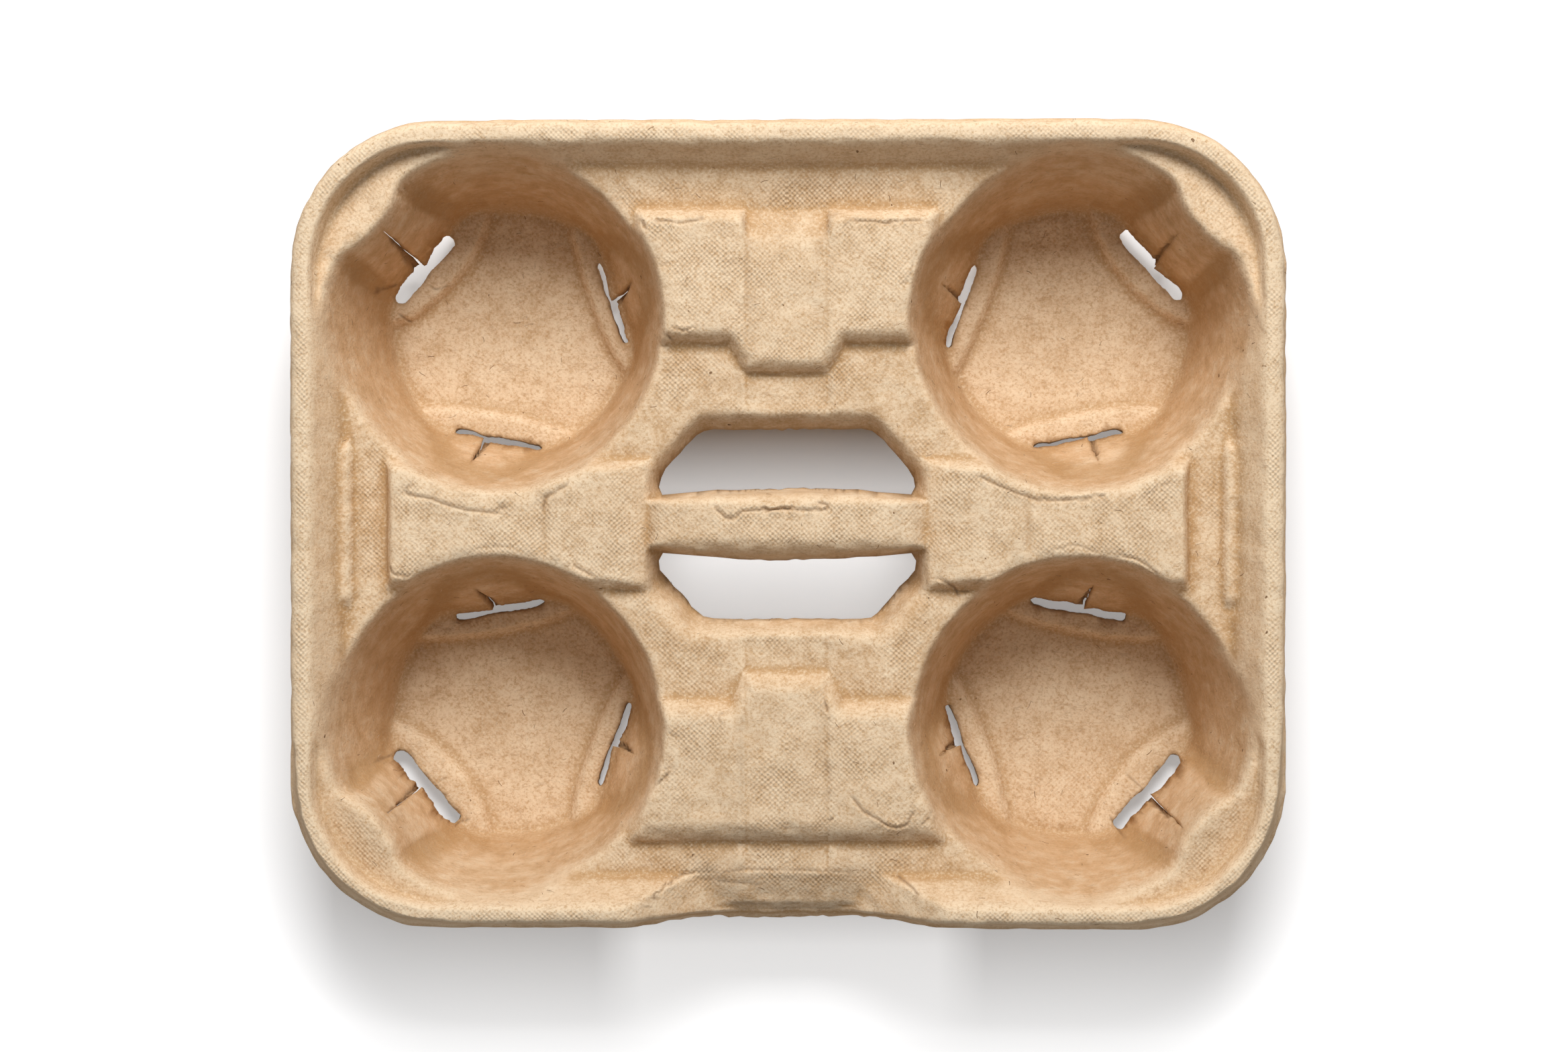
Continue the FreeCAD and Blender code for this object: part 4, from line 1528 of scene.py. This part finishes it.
@dataclass
class LooseFibres:
    """Single fibres that lie on the upper skin, scattered over it by a geometry tree."""

    kind: FibreKind
    seed: int
    thickness: float = 0.045

    def material(self) -> bpy.types.Material:
        """Build the fibres' plain matt material, uneven along their length.

        Returns:
            The material.
        """
        shade = self.kind.value[2]
        sheet = Shader(f"fibre_{self.kind.name.lower()}", 0.9)
        dark = tuple(0.6 * c for c in shade)
        color = sheet.mix(sheet.ramp(sheet.noise(900, 2, 0.5), 0.35, 0.65), shade, dark)
        sheet.feed(sheet.surface, {"Base Color": color})
        return sheet.material

    def strand(self, graph: Graph, thickness: Socket) -> Socket:
        """Add one bent fibre, of unit length, and return its mesh.

        Args:
            graph: The geometry tree.
            thickness: Radius of the fibre.

        Returns:
            The fibre's mesh.
        """
        arc = graph.add("GeometryNodeCurveQuadraticBezier", {
            "Start": (-0.5, 0.0, 0.0), "Middle": (0.05, 0.16, 0.0), "End": (0.5, 0.02, 0.0),
            "Resolution": 5,
        })
        ring = graph.add("GeometryNodeCurvePrimitiveCircle", {"Resolution": 4, "Radius": thickness})
        return graph.add("GeometryNodeCurveToMesh", {
            "Curve": arc.outputs[0], "Profile Curve": ring.outputs["Curve"], "Fill Caps": True,
        }).outputs[0]

    def tree(self) -> bpy.types.NodeTree:
        """Build the geometry tree, with inputs for the fibres' density, size and seed.

        Returns:
            The tree.
        """
        tree = bpy.data.node_groups.new(f"scatter_{self.kind.name.lower()}_fibres", "GeometryNodeTree")
        sockets = (("Geometry", "Geometry"), ("Density", "Float"), ("Length", "Float"),
                   ("Thickness", "Float"), ("Seed", "Int"))
        for name, kind in sockets:
            tree.interface.new_socket(name, in_out="INPUT", socket_type=f"NodeSocket{kind}")
        tree.interface.new_socket("Geometry", in_out="OUTPUT", socket_type="NodeSocketGeometry")
        graph = Graph(tree)
        given = graph.add("NodeGroupInput").outputs
        scatter = graph.add("GeometryNodeDistributePointsOnFaces", {
            "Mesh": given["Geometry"], "Density": given["Density"], "Seed": given["Seed"],
        }).outputs
        spin = graph.add("FunctionNodeRandomValue", {3: 2.0 * math.pi, "Seed": given["Seed"]},
                         data_type="FLOAT")
        about = graph.add("FunctionNodeAxisAngleToRotation", {"Angle": spin.outputs[1]})
        turn = graph.add("FunctionNodeRotateRotation", {
            "Rotation": scatter["Rotation"], "Rotate By": about.outputs[0],
        }, rotation_space="LOCAL")
        vary = graph.add("FunctionNodeRandomValue", {2: 0.25, 3: 1.25}, data_type="FLOAT")
        length = graph.math("MULTIPLY", vary.outputs[1], given["Length"])
        stretch = graph.add("ShaderNodeCombineXYZ", {0: length, 1: length, 2: METRE})
        place = graph.add("GeometryNodeInstanceOnPoints", {
            "Points": scatter["Points"], "Instance": self.strand(graph, given["Thickness"]),
            "Rotation": turn.outputs[0], "Scale": stretch.outputs[0],
        })
        real = graph.add("GeometryNodeRealizeInstances", {0: place.outputs[0]})
        coat = graph.add("GeometryNodeSetMaterial", {0: real.outputs[0], "Material": self.material()})
        graph.add("NodeGroupOutput", {0: coat.outputs[0]})
        return tree

    def build(self, skin: Skin) -> None:
        """Scatter the fibres over the upper skin, turn them into a plain mesh and let it ride.

        Args:
            skin: The tray's shell.
        """
        density, length, _ = self.kind.value
        name = f"loose_fibres_{self.kind.name.lower()}"
        bed = bpy.data.meshes.new(f"{name}_bed")
        upper = skin.points[: skin.upper] * METRE
        bed.from_pydata(upper.tolist(), [], skin.triangles[: skin.upper_triangles].tolist())
        piece = show(name, bed)
        modifier = piece.modifiers.new("scatter", "NODES")
        modifier.node_group = self.tree()
        values = {"Density": density, "Length": length * METRE, "Thickness": self.thickness,
                  "Seed": self.seed}
        for item in modifier.node_group.interface.items_tree:
            if item.in_out == "INPUT" and item.name in values:
                modifier[item.identifier] = values[item.name]
        shown = piece.evaluated_get(bpy.context.evaluated_depsgraph_get())
        mesh = bpy.data.meshes.new_from_object(shown)
        piece.modifiers.clear()
        piece.data = mesh
        self.keep_in(mesh)
        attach(piece, "root")
        LOG.info("%s: %d faces", name, len(mesh.polygons))

    def keep_in(self, mesh: bpy.types.Mesh) -> None:
        """Press the fibres' points into the frame's box.

        Args:
            mesh: The fibres' mesh.
        """
        coords = np.empty(len(mesh.vertices) * 3)
        mesh.vertices.foreach_get("co", coords)
        low, high = (np.array(corner) for corner in CAD_BOX)
        coords = np.clip(coords.reshape(-1, 3), low + 1e-5, high - 1e-5)
        mesh.vertices.foreach_set("co", coords.ravel())
        mesh.update()


@dataclass
class PulpTray:
    """The tray itself: one moulded shell, with the loose fibres that lie on it."""

    form: TrayForm = field(default_factory=TrayForm)
    finish: PulpFinish = field(default_factory=PulpFinish)

    def build(self) -> None:
        """Build, dress and place the shell and its fibres."""
        skin = TrayMesher(self.form, SlitCutter(self.form)).skin()
        mesh = bpy.data.meshes.new("pulp_shell")
        mesh.from_pydata((skin.points * METRE).tolist(), [], skin.triangles.tolist())
        for name in ("flat", "shade", "torn", "hollow"):
            layer = mesh.attributes.new(name, "FLOAT", "POINT")
            layer.data.foreach_set("value", getattr(skin, name).astype(np.float32))
        mesh.validate()
        mesh.shade_smooth()
        piece = show("pulp_shell", mesh)
        mesh.materials.append(self.finish.material())
        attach(piece, "root")
        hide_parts("pulp_tray")
        LOG.info("pulp_shell: %d triangles", len(skin.triangles))
        for kind, seed in ((FibreKind.DARK, 3), (FibreKind.PALE, 8)):
            LooseFibres(kind, seed).build(skin)


@dataclass
class Studio:
    """Floor, lamp, world and camera. Places are in metres, but the camera's are in millimetres."""

    floor_half: float = 3.0
    floor_level: float = -0.0001
    floor_grey: Colour = (0.80, 0.80, 0.805, 1.0)
    white: Colour = (1.0, 1.0, 1.0, 1.0)
    core: tuple[float, float, float] = (0.086, 0.066, 0.0)
    # Painted light and shadow on the floor under the tray, seen by the camera only.
    glow: float = 0.25
    glow_front: float = -0.12
    glow_back: float = 0.04
    glow_stops: tuple[Point, ...] = (
        (0.0, 0.25), (0.14, 0.48), (0.2, 0.40), (0.25, 0.25), (0.5, 0.25), (0.61, 0.37),
        (0.75, 0.38), (0.8, 0.42), (0.885, 0.0), (0.94, 0.0), (1.0, 0.25),
    )
    lamp_place: tuple[float, float, float] = (0.04, 0.64, 0.77)
    lamp_side: float = 0.42
    lamp_power: float = 9.8
    eye: tuple[float, float, float] = (13.0, 5.6, 695.0)
    target: tuple[float, float, float] = (-0.4, -0.3, 45.0)
    sensor: float = 36.0
    pixels_per_mm: float = 6.92
    photo_width: float = 2337.0

    def away(self, ground: Shader) -> Socket:
        """Return how far each place on the floor lies outside the tray: 1 just past it, 3 far off.

        Args:
            ground: The floor's material.

        Returns:
            The distance's share.
        """
        size = ground.vector("ABSOLUTE", ground.place).outputs[0]
        less = ground.vector("SUBTRACT", size, self.core).outputs[0]
        clear = ground.vector("MAXIMUM", less).outputs[0]
        reach = ground.vector("LENGTH", clear).outputs["Value"]
        return ground.math("ADD", ground.ramp(reach, 0.025, 0.052), ground.ramp(reach, 0.15, 0.8, 2.0))

    def under_glow(self, ground: Shader) -> Socket:
        """Return the glow painted on the floor under the tray for the camera: dim at the back hole as a
        painted shadow, bright before it as painted light.

        Args:
            ground: The floor's material.

        Returns:
            The glow's strength.
        """
        along = ground.ramp(ground.axes["Y"], self.glow_front, self.glow_back)
        tone = ground.add("ShaderNodeValToRGB", {0: along})
        stops = tone.color_ramp.elements
        stops.remove(stops[-1])
        for i, (spot, grey) in enumerate(self.glow_stops):
            stop = stops[0] if i == 0 else stops.new(spot)
            stop.position, stop.color = spot, (grey, grey, grey, 1.0)
        middle = ground.ramp(ground.math("ABSOLUTE", ground.axes["X"]), 0.045, 0.034)
        blend = ground.mix(middle, (self.glow,) * 3, tone.outputs[0])
        return ground.math("MULTIPLY", blend, ground.camera_share(1.0, 0.0))

    def floor(self) -> None:
        """Lay the pale floor, with light painted on it for the camera: brighter away from the tray, which
        shortens the tray's shadow, and the glow under the tray.
        """
        half, low = self.floor_half, self.floor_level
        mesh = bpy.data.meshes.new("studio_floor")
        corners = [(-half, -half, low), (half, -half, low), (half, half, low), (-half, half, low)]
        mesh.from_pydata(corners, [], [(0, 1, 2, 3)])
        piece = show("studio_floor", mesh)
        ground = Shader("pale_floor", 0.9, 0.5)
        # Camera-only emission paints light on the floor: more away from the tray, and under it as
        # under_glow sets.
        wide = ground.camera_share(0.36, 0.0)
        glow = ground.math("MULTIPLY_ADD", self.away(ground), wide, self.under_glow(ground))
        ground.feed(ground.surface, {
            "Base Color": self.floor_grey, "Emission Color": self.white, "Emission Strength": glow,
        })
        mesh.materials.append(ground.material)

    def light(self) -> None:
        """Light the tray from the back with one soft square lamp, and from all round."""
        data = bpy.data.lights.new("window", "AREA")
        data.shape = "SQUARE"
        data.size = self.lamp_side
        data.energy = self.lamp_power
        lamp = show("window", data)
        lamp.location = self.lamp_place
        lamp.rotation_euler = (-Vector(self.lamp_place)).to_track_quat("-Z", "Y").to_euler()
        world = bpy.data.worlds.new("studio_air")
        world.use_nodes = True
        air = Graph(world.node_tree)
        air.feed(world.node_tree.nodes["Background"], {
            "Color": self.white, "Strength": air.camera_share(0.72, 0.28),
        })
        bpy.context.scene.world = world

    def aim(self) -> None:
        """Set the camera up straight above the tray, as the photograph was taken."""
        data = bpy.data.cameras.new("camera")
        data.sensor_width = self.sensor
        depth = self.eye[2] - self.target[2]
        data.lens = self.pixels_per_mm * depth * self.sensor / self.photo_width
        camera = show("camera", data)
        camera.location = Vector(self.eye) * METRE
        view = Vector(self.target) * METRE - camera.location
        camera.rotation_euler = (math.atan2(view.y, -view.z), -math.atan2(view.x, -view.z), 0.0)
        bpy.context.scene.camera = camera
        bpy.context.scene.view_settings.view_transform = "Standard"

    def build(self) -> None:
        """Set up the whole studio."""
        self.floor()
        self.light()
        self.aim()
        LOG.info("studio: floor, lamp, world and camera")


def main() -> None:
    """Build the tray and the studio, and report each piece."""
    logging.basicConfig(level=logging.INFO, format="%(name)s: %(message)s")
    PulpTray().build()
    Studio().build()


if __name__ == "__main__":
    main()
